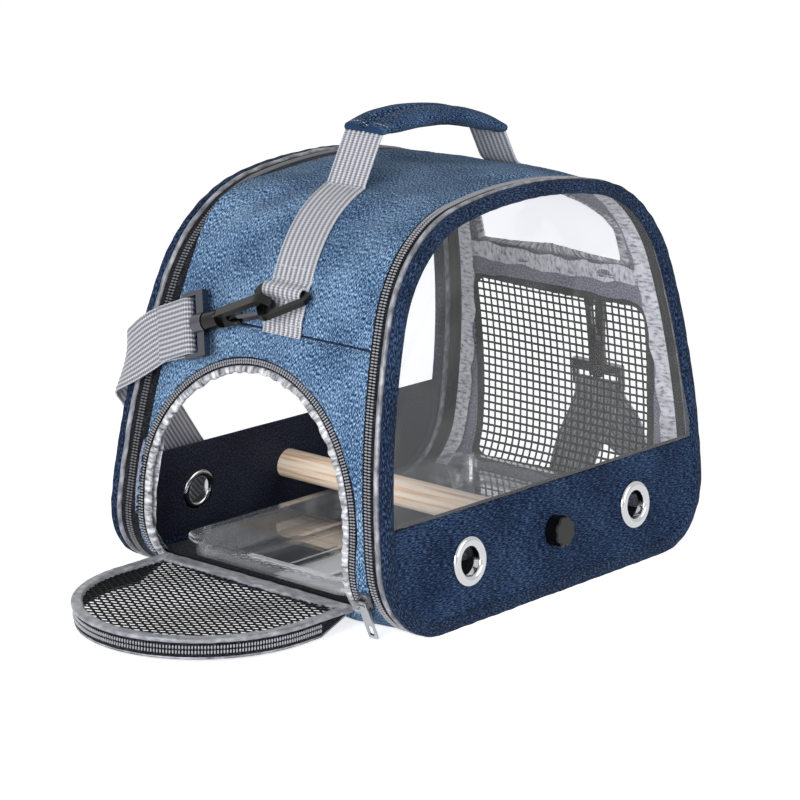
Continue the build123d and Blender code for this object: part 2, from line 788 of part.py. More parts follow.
def webbing_band(thickness):
    """The handle webbing's whole line as a closed band, in the XZ plane."""
    lift = WEB_T / 2 + SEWN_GAP
    foot_mid = roof_at(HANDLE_RIGHT_X + HANDLE_FOOT / 2, lift)
    foot_end = roof_at(HANDLE_RIGHT_X + HANDLE_FOOT, lift)
    with BuildSketch(Plane.XZ) as band:
        with BuildLine():
            grip_line = ThreePointArc(GRIP_LEFT, GRIP_CROWN, GRIP_RIGHT)
            Line(roof_at(HANDLE_LEFT_X, lift), grip_line @ 0)
            riser = Line(grip_line @ 1, roof_at(HANDLE_RIGHT_X, lift))
            ThreePointArc(riser @ 1, foot_mid, foot_end)
            offset(amount=thickness / 2, kind=Kind.INTERSECTION, side=Side.BOTH)
        make_face()
    return band.sketch


with BuildPart() as handle_webbing:
    extrude(webbing_band(WEB_T), amount=WEB_W / 2, both=True)
    add(arch_block(-SEWN_GAP / 2), mode=Mode.SUBTRACT)
save(handle_webbing.part, "handle_webbing")

with BuildPart() as handle_grip:
    extrude(grip_band(GRIP_T), amount=GRIP_W / 2, both=True)
    extrude(
        webbing_band(WEB_T + 2 * SEWN_GAP),
        amount=WEB_W / 2 + SEWN_GAP,
        both=True,
        mode=Mode.SUBTRACT,
    )
save(handle_grip.part, "handle_grip")

# ---------------------------------------------------------------------------------------------
# Rings and swivel hooks, one set on each end
# ---------------------------------------------------------------------------------------------
bar_y = RING_END_R - RING_WIRE / 2
slot_end_x = HOOK_REACH + RING_WIRE / 2 + 1.2 - HOOK_SLOT_R


def ring_solid(place):
    """A moulded triangle ring with its bar along the plane's x axis and its tip along -y."""
    with BuildPart() as ring:
        with BuildSketch(place):
            with Locations((-RING_HALF, 0), (RING_HALF, 0), (-RING_HALF, -4), (RING_HALF, -4)):
                Circle(RING_END_R)
            with Locations((0, -RING_DROP)):
                Circle(RING_TIP_R)
            make_hull()
            offset(amount=-RING_WIRE, mode=Mode.SUBTRACT)
        extrude(amount=RING_T / 2, both=True)
    return ring.part


def hull_block(place, circles, half_thickness):
    """A slab round the hull of circles given as (x, y, radius), centred on a plane."""
    with BuildPart() as block:
        with BuildSketch(place):
            for x, y, radius in circles:
                with Locations((x, y)):
                    Circle(radius)
            if len(circles) > 1:
                make_hull()
        extrude(amount=half_thickness, both=True)
    return block.part


def slab(place, x_from, x_to, y_from, y_to, half_thickness):
    """A slab between two corners of a plane, centred on it."""
    with BuildPart() as block:
        with BuildSketch(place):
            with Locations(((x_from + x_to) / 2, (y_from + y_to) / 2)):
                Rectangle(x_to - x_from, y_to - y_from)
        extrude(amount=half_thickness, both=True)
    return block.part


def rod(place, start_x, length, radius):
    """A round bar along the plane's x axis."""
    section = Plane(
        origin=place.from_local_coords(Vector(start_x, 0, 0)), x_dir=place.y_dir, z_dir=place.x_dir
    )
    with BuildPart() as bar:
        with BuildSketch(section):
            Circle(radius)
        extrude(amount=length)
    return bar.part


def hook_solid(place):
    """The hook, its collar and its swivel pin. The plane's x axis runs from swivel to ring."""
    pivot_x, pivot_y = GATE_PIVOT
    nose_x = GATE_NOSE[0] + GATE_NOSE_R + RUN_GAP
    body = [(slot_end_x, 0, HOOK_SLOT_R + HOOK_ARM), (HOOK_ROOT_X, 0, COLLAR_R - 0.4)]
    slot = [(slot_end_x, 0, HOOK_SLOT_R), (SLOT_ROOT_X, 0, SLOT_ROOT_R)]
    cheek = GATE_T / 2 + RUN_GAP
    with BuildPart() as hook:
        add(hull_block(place, body, HOOK_T / 2))
        add(hull_block(place, slot, HOOK_T), mode=Mode.SUBTRACT)
        add(slab(place, pivot_x - 2.5, nose_x, -14, -SLOT_ROOT_R, cheek), mode=Mode.SUBTRACT)
        add(slab(place, pivot_x + 3.5, nose_x, -14, -SLOT_ROOT_R, HOOK_T), mode=Mode.SUBTRACT)
        add(
            hull_block(place, [(pivot_x, pivot_y, GATE_PIN_R + PIN_GAP)], HOOK_T),
            mode=Mode.SUBTRACT,
        )
        add(rod(place, COLLAR_FROM, HOOK_ROOT_X - COLLAR_FROM, COLLAR_R))
        add(rod(place, -8.0, 8.0 + COLLAR_FROM, PIN_R))
        add(rod(place, -9.6, 2.0, COLLAR_R - 2))
    return hook.part


def gate_solid(place):
    """The spring lever that closes the hook, with its pin."""
    lever = [(*GATE_PIVOT, GATE_ROOT_R), (*GATE_NOSE, GATE_NOSE_R)]
    with BuildPart() as gate:
        add(hull_block(place, lever, GATE_T / 2))
        add(hull_block(place, [(*GATE_PIVOT, GATE_PIN_R)], HOOK_T / 2))
    return gate.part


def swivel_solid(place):
    """The strap's frame: a boss on the swivel pin, two side arms and a round bar."""
    inside = STRAP_W / 2 + RUN_GAP
    outside = inside + FRAME_ARM
    bar = Plane(
        origin=place.from_local_coords(Vector(-FRAME_BACK, 0, 0)),
        x_dir=place.y_dir,
        z_dir=place.z_dir,
    )
    with BuildPart() as frame:
        add(slab(place, -FRAME_BACK - 2, 1, -outside, outside, FRAME_T / 2))
        add(slab(place, -FRAME_BACK - 4, -5, -inside, inside, FRAME_T), mode=Mode.SUBTRACT)
        add(rod(place, -7.2, 9.0, SWIVEL_R))
        add(rod(bar, -outside, 2 * outside, FRAME_BAR_R))
        add(rod(place, -20, 40, PIN_R + PIN_GAP), mode=Mode.SUBTRACT)
        add(rod(place, -11.8, 4.6, SWIVEL_R), mode=Mode.SUBTRACT)
    return frame.part


def chain_planes(end_name):
    """The planes of the wall, the ring, the hook and the strap's frame on one end."""
    anchor = end_plane(-1 if end_name == "left" else 1, 0, ANCHOR_Z[end_name], 0)

    def world(across, up, out):
        return anchor.x_dir * across + anchor.y_dir * up + anchor.z_dir * out

    lean = radians(RING_LEAN_DEG[end_name])
    ring_place = Plane(
        origin=anchor.origin + world(*RING_PLACE[end_name], RING_OUT),
        x_dir=anchor.x_dir,
        z_dir=world(0, sin(lean), cos(lean)),
    )
    catch = ring_place.from_local_coords(Vector(*CATCH[end_name], 0))
    wire_x, wire_y = CAUGHT_WIRE[end_name]
    wire = ring_place.x_dir * wire_x + ring_place.y_dir * wire_y
    pull = world(*PULL[end_name]).normalized()
    middle = catch - pull * HOOK_REACH
    hook_place = Plane(origin=middle, x_dir=pull, z_dir=wire - pull * pull.dot(wire))
    out = anchor.z_dir - pull * pull.dot(anchor.z_dir)
    frame_place = Plane(origin=middle, x_dir=pull, z_dir=out)
    return anchor, ring_place, hook_place, frame_place


chains = {end_name: chain_planes(end_name) for end_name in ("left", "right")}
for end_name, (_, ring_place, hook_place, frame_place) in chains.items():
    save(ring_solid(ring_place), f"{end_name}_ring")
    save(hook_solid(hook_place), f"{end_name}_hook")
    save(gate_solid(hook_place), f"{end_name}_gate")
    save(swivel_solid(frame_place), f"{end_name}_strap_frame")

# ---------------------------------------------------------------------------------------------
# Webbing on the ends, each with a loop that holds a ring
# ---------------------------------------------------------------------------------------------


def ring_loop(end_name):
    """The fold of webbing round a ring's bar, and its stitched neck down to the wall."""
    anchor, ring_place, _, _ = chains[end_name]
    middle = ring_place.from_local_coords(Vector(0, bar_y, 0))
    stand_off = (abs(middle.X) - half_width(middle.Z)) * abs(anchor.z_dir.X)
    section = Plane(
        origin=middle - anchor.x_dir * (WEB_W / 2), x_dir=anchor.y_dir, z_dir=anchor.x_dir
    )
    with BuildPart() as loop:
        with BuildSketch(section):
            Circle(LOOP_R + WEB_T)
            with Locations((0, -stand_off / 2)):
                Rectangle(2 * (LOOP_R + WEB_T) - 2, stand_off - WEB_T)
            Circle(LOOP_R, mode=Mode.SUBTRACT)
        extrude(amount=WEB_W)
    return loop.part


def side_strip(side, low, high, drift_low, drift_high):
    """A webbing strip on the arch's outside, between two heights, which may run off square."""
    with BuildPart() as strip:
        add(arch_shell(-WEB_T, 0))
        with BuildSketch(Plane.YZ):
            with BuildLine():
                Polyline(
                    (drift_low - WEB_W / 2, low),
                    (drift_low + WEB_W / 2, low),
                    (drift_high + WEB_W / 2, high),
                    (drift_high - WEB_W / 2, high),
                    close=True,
                )
            make_face()
        extrude(amount=side * LENGTH, mode=Mode.INTERSECT)
    return strip.part


loop_z = {end_name: chains[end_name][1].origin.Z for end_name in chains}
with BuildPart() as left_webbing:
    add(side_strip(-1, loop_z["left"] - 6, roof_at(HANDLE_LEFT_X, 0)[1], WEB_DRIFT, 0))
    add(side_strip(-1, SEAM_Z, loop_z["left"], WEB_DRIFT, WEB_DRIFT))
    add(ring_loop("left"))
save(left_webbing.part, "left_webbing")

right_across = RING_PLACE["right"][0]
with BuildPart() as right_tab:
    add(side_strip(1, loop_z["right"] - 10, SEAM_Z, right_across, right_across))
    add(ring_loop("right"))
save(right_tab.part, "right_tab")

# ---------------------------------------------------------------------------------------------
# Shoulder strap: from the left frame round the back, along the floor and up to the right frame.
# Each point of a route carries the direction of the strap's width there.
# ---------------------------------------------------------------------------------------------
EYE_W = STRAP_W - 0.4    # a fold is pulled in a little at its edges
EYE_T = STRAP_T + 0.1
fold_in = FRAME_BAR_R + RUN_GAP
fold_out = fold_in + EYE_T
fold_mid = fold_in + EYE_T / 2
left_place, right_place = chains["left"][3], chains["right"][3]


def behind(place, back, out=0.0):
    """A point behind the bar of a strap frame."""
    return tuple(place.from_local_coords(Vector(-FRAME_BACK - back, 0, out)))


def strap_section(place):
    """The plane across a strap frame's bar, from one edge of the strap."""
    return Plane(
        origin=place.from_local_coords(Vector(-FRAME_BACK, -EYE_W / 2, 0)),
        x_dir=place.x_dir,
        z_dir=place.y_dir,
    )


def strap_eye(place, reach):
    """The strap's end, folded round the frame's bar and stitched down on itself."""
    with BuildPart() as eye:
        with BuildSketch(strap_section(place)):
            Circle(fold_out)
            with BuildLine():
                Polyline(
                    (0, fold_out),
                    (-9, EYE_T),
                    (-reach, EYE_T),
                    (-reach, -EYE_T),
                    (-9, -EYE_T),
                    (0, -fold_out),
                    close=True,
                )
            make_face()
            Circle(fold_in, mode=Mode.SUBTRACT)
        extrude(amount=EYE_W)
    return eye.part


def strap_fold(place, reach):
    """The strap passed over the frame's bar, with both plies hanging free behind it."""
    with BuildPart() as fold:
        with BuildSketch(strap_section(place)):
            Circle(fold_out)
            with Locations((-reach / 2, 0)):
                Rectangle(reach, 2 * fold_out)
            Circle(fold_in, mode=Mode.SUBTRACT)
            with Locations((-reach, 0)):
                Rectangle(2 * reach, 2 * fold_in, mode=Mode.SUBTRACT)
        extrude(amount=EYE_W)
    return fold.part


def smooth(route):
    """A route with a point added between its own on a smooth curve. Its first and last steps stay straight."""
    result = [route[0]]
    last = len(route) - 1
    for i in range(1, last - 1):
        near = route[i - 1 : i + 3]
        result.append(route[i])
        middle = []
        for what in (0, 1):
            values = [Vector(spot[what]) for spot in near]
            middle.append((values[1] + values[2]) * 0.5625 - (values[0] + values[3]) * 0.0625)
        result.append(middle)
    result.append(route[last - 1])
    result.append(route[last])
    return [(Vector(point), Vector(width)) for point, width in result]


def ribbon(route):
    """A flat strap along a smooth route, square to its first and last steps."""
    spots = smooth(route)
    last = len(spots) - 1
    sections = []
    for i, (point, width) in enumerate(spots):
        before, after = max(i - 1, 0), min(i + 1, last)
        if i <= 1:
            before, after = 0, 1
        if i >= last - 1:
            before, after = last - 1, last
        along = (spots[after][0] - spots[before][0]).normalized()
        across = width - along * along.dot(width)
        with BuildSketch(Plane(origin=point, x_dir=across, z_dir=along)) as section:
            Rectangle(STRAP_W, STRAP_T)
        sections.append(section.sketch)
    with BuildPart() as strip:
        loft(sections, ruled=True)
    return strip.part


FLAT_Z = STRAP_T / 2 + 0.3
EDGE_Z = STRAP_W / 2 + 0.9
left_up = tuple(left_place.y_dir)
right_up = tuple(right_place.y_dir)
END = LENGTH / 2
BACK = BASE_DEPTH / 2
STRAP_ROUTE = [
    (behind(left_place, EYE_REACH - 4), left_up),
    (behind(left_place, EYE_REACH + 2), left_up),
    ((4.5 - END, BACK - 34.5, 155.0), (0.22, 0.42, 0.88)),
    ((3.5 - END, BACK - 18, 142.5), (0.35, 0.35, 0.87)),
    ((9 - END, BACK - 8, 134.5), (0.55, 0.1, 0.83)),
    ((23 - END, BACK - 2.5, 124.5), (0.76, 0.0, 0.65)),
    ((-111.4, BACK - 0.2, 88.6), (0.76, 0.0, 0.65)),
    ((-83.2, BACK + 4, 55.3), (0.72, 0.0, 0.69)),
    ((-60.0, BACK + 8, 34.0), (0.5, 0.0, 0.87)),
    ((-30.0, BACK + 12, 22.5), (0.25, 0.1, 0.97)),
    ((10.0, BACK + 16, EDGE_Z), (0.0, 0.12, 0.99)),
    ((60.0, BACK + 19, EDGE_Z), (0.0, 0.1, 0.99)),
    ((110.0, BACK + 20, EDGE_Z), (0.0, 0.0, 1.0)),
    ((END - 15, BACK + 21, EDGE_Z), (0.0, 0.0, 1.0)),
    ((END + 11, BACK + 16, EDGE_Z), (0.0, 0.0, 1.0)),
    ((END + 22, BACK - 0, 18.0), (-0.3, 0.0, 0.95)),
    ((END + 24, BACK - 16, 14.0), (-0.7, 0.0, 0.7)),
    ((END + 24, BACK - 34, 7.0), (-0.94, 0.0, 0.34)),
    ((END + 23.5, 66.0, FLAT_Z), (-1.0, 0.0, 0.0)),
    ((END + 23, 40.0, FLAT_Z), (-1.0, 0.0, 0.0)),
    ((END + 23, -20.0, FLAT_Z), (-1.0, 0.0, 0.0)),
    ((END + 23, -44.0, 2.2), (-1.0, 0.0, 0.0)),
    ((END + 23, -56.0, 8.5), (-1.0, 0.0, 0.0)),
    ((END + 21.5, -60.0, 20.0), (-0.94, -0.34, 0.0)),
    ((END + 17.5, -59.0, 33.0), (-0.7, -0.7, 0.0)),
    ((END + 14.5, -53.0, 45.0), (-0.3, -0.95, 0.0)),
    ((END + 13.8, -43.0, 55.0), (0.0, -1.0, 0.0)),
    ((END + 13.9, -31.0, 66.0), (0.0, -1.0, 0.0)),
    (behind(right_place, 10, fold_mid), right_up),
    (behind(right_place, 4, fold_mid), right_up),
]
TAIL_ROUTE = [
    (behind(right_place, 4, -fold_mid), right_up),
    (behind(right_place, 10, -fold_mid), right_up),
    ((END + 6.6, -16.0, 62.0), (0.0, -1.0, 0.0)),
    ((END + 5.8, -8.0, 44.0), (0.0, -1.0, 0.0)),
    ((END + 5.6, -3.0, 26.0), (0.0, -1.0, 0.0)),
    ((END + 6.5, 0.0, 6.0), (0.0, -1.0, 0.0)),
]
run = smooth(STRAP_ROUTE)
strap_length = sum((run[i + 1][0] - run[i][0]).length for i in range(len(run) - 1))
print(f"shoulder strap from bar to bar {strap_length + EYE_REACH:.0f} mm")
with BuildPart() as shoulder_strap:
    add(ribbon(STRAP_ROUTE))
    add(strap_eye(left_place, EYE_REACH))
    add(strap_fold(right_place, 5))
    add(ribbon(TAIL_ROUTE))
save(shoulder_strap.part, "shoulder_strap")
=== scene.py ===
# %% [markdown]
# # A soft travel carrier for small birds
#
# The real thing is a small bag of heathered blue cloth, 33 cm long, 24 cm deep and 26 cm high. Clear
# vinyl windows fill its front and back, a mesh door folds out of one end, and a wooden perch crosses
# the cabin. This lesson dresses the carrier's solid frame with cloth, tape, thread, vinyl and metal.
#
# The frame comes first, because every piece is placed by it. Distances in this file are millimetres,
# as on a maker's drawing, and become metres only when a mesh is built.

# %% Load the frame
import json

import bpy
import numpy as np
from mathutils import Matrix

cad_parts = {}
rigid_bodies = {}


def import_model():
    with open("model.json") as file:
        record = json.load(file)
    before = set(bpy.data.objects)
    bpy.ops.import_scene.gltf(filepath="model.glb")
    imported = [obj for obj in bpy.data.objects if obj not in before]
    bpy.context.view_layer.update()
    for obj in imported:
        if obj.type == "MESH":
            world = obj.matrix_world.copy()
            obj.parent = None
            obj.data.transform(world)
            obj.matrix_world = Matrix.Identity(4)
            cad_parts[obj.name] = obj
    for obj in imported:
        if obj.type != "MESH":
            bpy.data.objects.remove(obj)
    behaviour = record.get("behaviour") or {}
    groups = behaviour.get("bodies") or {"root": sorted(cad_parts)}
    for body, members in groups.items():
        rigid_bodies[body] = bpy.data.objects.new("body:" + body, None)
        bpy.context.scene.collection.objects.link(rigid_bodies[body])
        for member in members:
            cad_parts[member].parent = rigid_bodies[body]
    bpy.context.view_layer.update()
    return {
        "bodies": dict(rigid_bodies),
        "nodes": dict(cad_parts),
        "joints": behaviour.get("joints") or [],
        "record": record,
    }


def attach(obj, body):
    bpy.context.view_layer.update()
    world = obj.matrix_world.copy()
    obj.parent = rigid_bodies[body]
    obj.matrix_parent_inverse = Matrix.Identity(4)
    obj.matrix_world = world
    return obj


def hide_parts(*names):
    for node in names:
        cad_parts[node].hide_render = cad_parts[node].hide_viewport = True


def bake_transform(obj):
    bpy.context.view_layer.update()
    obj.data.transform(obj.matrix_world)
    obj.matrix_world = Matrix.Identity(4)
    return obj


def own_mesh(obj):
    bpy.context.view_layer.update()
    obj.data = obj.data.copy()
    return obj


MM = 0.001
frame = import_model()
nodes = frame["nodes"]
print("frame loaded with", len(nodes), "nodes")

# %% [markdown]
# ## Camera
#
# A camera is a point, a direction that it looks back along, and a roll. They could be set by hand in
# the viewport, but as numbers they are exact. The lens is long, because the carrier is seen from
# about two metres away.

# %% Camera
CAMERA_PLACE = np.array([-1467.7, -1200.6, 587.0])
CAMERA_TARGET = np.array([-11.71, 4.05, 105.79])
CAMERA_ROLL_DEG = 1.366
LENS_MM = 134.3


def unit(vectors):
    """Each vector divided by its own length."""
    vectors = np.asarray(vectors, float)
    return vectors / np.linalg.norm(vectors, axis=-1, keepdims=True)


back = unit(CAMERA_PLACE - CAMERA_TARGET)
level = unit(np.cross((0, 0, 1), back))
rise = np.cross(back, level)
roll = np.radians(CAMERA_ROLL_DEG)
turn = np.eye(4)
turn[:3, 0] = np.cos(roll) * level + np.sin(roll) * rise
turn[:3, 1] = np.cos(roll) * rise - np.sin(roll) * level
turn[:3, 2] = back
turn[:3, 3] = CAMERA_PLACE * MM
camera = bpy.data.objects.new("camera", bpy.data.cameras.new("camera"))
bpy.context.scene.collection.objects.link(camera)
camera.data.lens = LENS_MM
camera.data.sensor_width = 36
camera.matrix_world = Matrix(turn.tolist())
bpy.context.scene.camera = camera
print("camera stands", round(float(np.linalg.norm(CAMERA_PLACE - CAMERA_TARGET))), "mm away")

# %% [markdown]
# ## Nodes and colours
#
# Every finish below is a small tree of shader nodes. They could be joined up by hand in the shader
# editor, but one function that adds a node with its settings and links lets each finish read as a
# list of steps. Colours are written as hex codes, as a dyer or a printer would give them, and
# turned into the linear values that light is counted in.

# %% Colours, sockets and nodes
PATTERN = "pattern"


def linear(hex_colour):
    """Red, green and blue of a hex code in linear light: each share is divided by 12.92 below
    0.04045, and otherwise raised to 2.4 after adding 0.055 and dividing by 1.055."""
    share = np.array([int(hex_colour[k : k + 2], 16) / 255 for k in (1, 3, 5)])
    light = np.where(share <= 0.04045, share / 12.92, ((share + 0.055) / 1.055) ** 2.4)
    return (*light.tolist(), 1.0)


def feed(tree, made, inputs):
    """Give a node's sockets what they work with: a number, a hex colour, one output of another
    node, or another node, which means its first output."""
    for key, value in inputs.items():
        socket = made.inputs[key]
        if isinstance(value, bpy.types.Node):
            value = value.outputs[0]
        if isinstance(value, bpy.types.NodeSocket):
            tree.links.new(value, socket)
        else:
            socket.default_value = linear(value) if isinstance(value, str) else value


def add(tree, kind, inputs=None, stops=(), **settings):
    """Add a node. stops are a ramp's places and colours: its two ends first, then those between."""
    made = tree.nodes.new(kind)
    for key, value in settings.items():
        setattr(made, key, value)
    for number, (place, hex_colour) in enumerate(stops):
        band = made.color_ramp.elements
        element = band[number] if number < 2 else band.new(place)
        element.position = place
        element.color = linear(hex_colour)
    feed(tree, made, inputs or {})
    return made


def bare_tree(owner):
    """The node tree of a new material or world, emptied."""
    owner.use_nodes = True
    owner.node_tree.nodes.clear()
    return owner.node_tree


def new_finish(name):
    """A bare material with its node tree and surface shader."""
    material = bpy.data.materials.new(name)
    tree = bare_tree(material)
    shader = add(tree, "ShaderNodeBsdfPrincipled")
    add(tree, "ShaderNodeOutputMaterial", {"Surface": shader})
    return material, tree, shader

# %% [markdown]
# ## Woven cloth
#
# Cloth is threads crossing threads. Its colour comes from slubs, the uneven places in each dyed
# thread, and its shine from how the threads lie. The threads could be real geometry, but at this
# size a pattern does better: two sine waves that cross give the weave, and a stretched noise gives
# the slubs. Both follow the piece's own pattern coordinates, which are metres of cloth, so they run
# along the weave wherever the cloth goes. The true thread is about half a millimetre. It is drawn
# about twice as coarse, so that it shows.

# %% A woven cloth
THREAD_MM, CLOTH_RELIEF_MM = 0.9, 0.6
# The dye is uneven too, in patches about 45 mm apart, which is 22 to the metre.
DYE_PATCHES = 22.0


def thread_waves(tree, spot, pitches, curve):
    """A wave along each of the two pattern directions, with one turn to each pitch in mm. curve is
    the kind of wave, SINE or COSINE."""
    split = add(tree, "ShaderNodeSeparateXYZ", {0: spot})
    both = []
    for axis, pitch in enumerate(pitches):
        turns = {0: split.outputs[axis], 1: 2 * np.pi / (pitch * MM)}
        angle = add(tree, "ShaderNodeMath", turns, operation="MULTIPLY")
        both.append(add(tree, "ShaderNodeMath", {0: angle}, operation=curve))
    return both


def woven(name, shades, slub, thread=THREAD_MM, rough=0.85, relief=0.35, sheen=0.04):
    """Cloth with slubs of a width and length, over a weave of crossing threads, all in mm. The
    three shades are dark, middle and light."""
    material, tree, shader = new_finish(name)
    spot = add(tree, "ShaderNodeUVMap", uv_map=PATTERN)
    slub_scale = (1 / (slub[0] * MM), 1 / (slub[1] * MM), 1)
    slub_place = add(tree, "ShaderNodeMapping", {0: spot, "Scale": slub_scale})
    slubs = add(tree, "ShaderNodeTexNoise", {"Vector": slub_place, "Scale": 1.0, "Detail": 2.0})
    broad = add(tree, "ShaderNodeTexNoise", {"Vector": spot, "Scale": DYE_PATCHES, "Detail": 2.0})
    tone = add(tree, "ShaderNodeMath", {0: broad, 1: 0.2, 2: slubs}, operation="MULTIPLY_ADD")
    stops = [(0.48, shades[0]), (0.73, shades[2]), (0.61, shades[1])]
    colours = add(tree, "ShaderNodeValToRGB", {0: tone}, stops)
    warp, weft = thread_waves(tree, spot, (thread, thread), "SINE")
    weave = add(tree, "ShaderNodeMath", {0: warp, 1: weft}, operation="MULTIPLY")
    height = add(tree, "ShaderNodeMath", {0: weave, 1: 0.35, 2: slubs}, operation="MULTIPLY_ADD")
    depth = {"Height": height, "Strength": relief, "Distance": CLOTH_RELIEF_MM * MM}
    bump = add(tree, "ShaderNodeBump", depth)
    # The colour is scaled by the weave: darker where the threads dip and lighter on their crowns,
    # which is painted shade and painted highlight on the threads.
    span = {0: weave, "From Min": -1.0, "To Min": 0.75, "To Max": 1.2}
    shade = add(tree, "ShaderNodeMapRange", span)
    dyed_and_shaded = add(tree, "ShaderNodeVectorMath", {0: colours, "Scale": shade}, operation="SCALE")
    feed(tree, shader, {"Base Color": dyed_and_shaded, "Normal": bump, "Roughness": rough})
    feed(tree, shader, {"Sheen Weight": sheen, "Specular IOR Level": 0.08})
    return material


# Heathered polyester canvas, woven with light slubs and lightly brushed: matt, streaky and soft.
blue_cloth = woven(
    "heathered_blue_canvas", ("#11294A", "#486C95", "#B4D6F6"), slub=(0.5, 1.9), relief=0.5
)
# The same canvas dyed deeper and cut with its slubs level, for the bands, the floor and the grip.
navy_cloth = woven(
    "navy_canvas", ("#040E22", "#162949", "#4A6488"), slub=(3.6, 0.5), relief=0.45, sheen=0.02
)
grip_cloth = woven("navy_denim_sleeve", ("#081429", "#284265", "#7394BC"), slub=(0.5, 2.0))
# Cotton bias tape folded over a raw edge: fine, tight and nearly flat in colour.
navy_tape = woven(
    "navy_bias_tape", ("#060C1A", "#1A2A45", "#42597C"), (0.8, 2.4), 0.8, 0.7, 0.5, 0.02
)
# Taffeta lining and the felt-like mat: near black, with only a breath of blue.
dark_lining = woven(
    "black_taffeta_lining", ("#10131D", "#202431", "#363B4D"), (1.2, 1.2), rough=0.5, sheen=0.02
)
grey_lining = woven("grey_taffeta_lining", ("#6A6C7C", "#8C8EA0", "#B4B6C6"), (1.2, 1.2))
mat_cloth = woven(
    "charcoal_mat_felt", ("#0C0D11", "#191C22", "#2C3038"), (2.0, 2.0), 1.2, sheen=0.05
)
# Polyester filament, for the zips' tapes and the nets: black, smooth and a little glossy.
zip_cloth = woven(
    "black_zip_tape", ("#0A0B0E", "#17191E", "#34373E"), (3.0, 0.8), 0.7, 0.7, sheen=0.04
)
dark_thread = woven(
    "black_polyester_mesh", ("#030406", "#0B0C10", "#23252B"), (0.6, 0.6), 0.7, 0.6, sheen=0.01
)
print("woven finishes ready")

# %% [markdown]
# ## Satin, webbing and coil
#
# Satin tape is woven so that long threads lie on top, which makes it shine along its folds. Here the
# shine on its ridges and the shade in its creases are painted into its colour. Webbing is a thick
# narrow weave with ribs along it, so its colour and relief both follow the distance across the tape:
# its colour is painted lighter on the ribs and darker between them. A zip's coil is smooth nylon
# thread.

# %% Satin tape and webbing
SATIN_PATCH_MM, SATIN_RELIEF_MM = 5.0, 0.8
# Loose fibre on the webbing, a little over a millimetre apart, which is 900 to the metre.
WEBBING_FUZZ, WEBBING_RELIEF_MM, PICK_MM = 900.0, 0.35, 1.5


def satin(name, shades, rough, pucker_mm):
    """A shiny tape with soft relief from noise as fine as its puckers. The same noise sets its
    colour, pale on the ridges and grey in the creases: painted highlight and painted shade.
    """
    material, tree, shader = new_finish(name)
    spot = add(tree, "ShaderNodeUVMap", uv_map=PATTERN)
    scale = (1 / (SATIN_PATCH_MM * MM), 1 / (pucker_mm * MM), 1)
    place = add(tree, "ShaderNodeMapping", {0: spot, "Scale": scale})
    noise = add(tree, "ShaderNodeTexNoise", {"Vector": place, "Scale": 1.0, "Detail": 4.0})
    # The colour follows the relief's noise: painted highlight on the ridges, painted shade in the
    # creases.
    stops = [(0.32, shades[0]), (0.66, shades[2]), (0.48, shades[1])]
    colours = add(tree, "ShaderNodeValToRGB", {0: noise}, stops)
    depth = {"Height": noise, "Strength": 0.5, "Distance": SATIN_RELIEF_MM * MM}
    bump = add(tree, "ShaderNodeBump", depth)
    feed(tree, shader, {"Base Color": colours, "Normal": bump, "Roughness": rough})
    feed(tree, shader, {"Anisotropic": 0.4, "Sheen Weight": 0.1})
    return material


def webbing_weave(name, shades, rib_mm):
    """Ribs along the tape and picks across it: a cosine across plus about half of one along, and a
    little fuzz. The colour follows this height: painted highlight on the crowns and painted shade
    in the gaps."""
    material, tree, shader = new_finish(name)
    spot = add(tree, "ShaderNodeUVMap", uv_map=PATTERN)
    ribs, picks = thread_waves(tree, spot, (rib_mm, PICK_MM), "COSINE")
    woven_in = add(tree, "ShaderNodeMath", {0: picks, 1: 0.55, 2: ribs}, operation="MULTIPLY_ADD")
    fuzz = add(tree, "ShaderNodeTexNoise", {"Vector": spot, "Scale": WEBBING_FUZZ, "Detail": 2.0})
    height = add(tree, "ShaderNodeMath", {0: fuzz, 1: 1.2, 2: woven_in}, operation="MULTIPLY_ADD")
    # The colour follows the same height: lighter on the crowns and darker in the gaps, painted
    # highlight and painted shade.
    level = add(tree, "ShaderNodeMapRange", {0: height, "From Min": -1.0, "From Max": 2.1})
    stops = [(0.05, shades[0]), (0.9, shades[2]), (0.5, shades[1])]
    colours = add(tree, "ShaderNodeValToRGB", {0: level}, stops)
    depth = {"Height": height, "Strength": 0.6, "Distance": WEBBING_RELIEF_MM * MM}
    bump = add(tree, "ShaderNodeBump", depth)
    feed(tree, shader, {"Base Color": colours, "Normal": bump})
    feed(tree, shader, {"Roughness": 0.55, "Sheen Weight": 0.2})
    return material


# Light grey satin over a filler cord, and the silvery crinkled tape round the door and skylight.
piping_satin = satin("grey_satin_piping", ("#4C4E56", "#7E8088", "#B4B6BD"), 0.36, 9.0)
crinkled_satin = satin("silver_crinkled_tape", ("#4A4B53", "#A9AAB2", "#F2F2F7"), 0.36, 2.6)
# The same tape inside the bag, with tighter creases. It is painted whiter, most on its ridges:
# painted light standing in for the lamps' light that the bag's walls keep out.
lightened_seam_satin = satin("silver_seam_tape_lightened", ("#7E8090", "#E4E5EE", "#FFFFFF"), 0.32, 2.2)
# Satin binding sewn on straight, so it stays smooth, with only faint painted highlights and shade
# besides its own sheen.
smooth_satin = satin("silver_grey_satin_binding", ("#6F7179", "#8D8F97", "#B2B4BB"), 0.32, 8.0)
# Polypropylene webbing, ribbed along its length: light grey on the bag, darker on the strap.
pale_webbing = webbing_weave("light_grey_webbing", ("#686A72", "#A0A2AA", "#E0E2EA"), 3.75)
strap_webbing = webbing_weave("grey_strap_webbing", ("#5A5C64", "#94969E", "#D8DAE2"), 3.0)
print("satin and webbing ready")

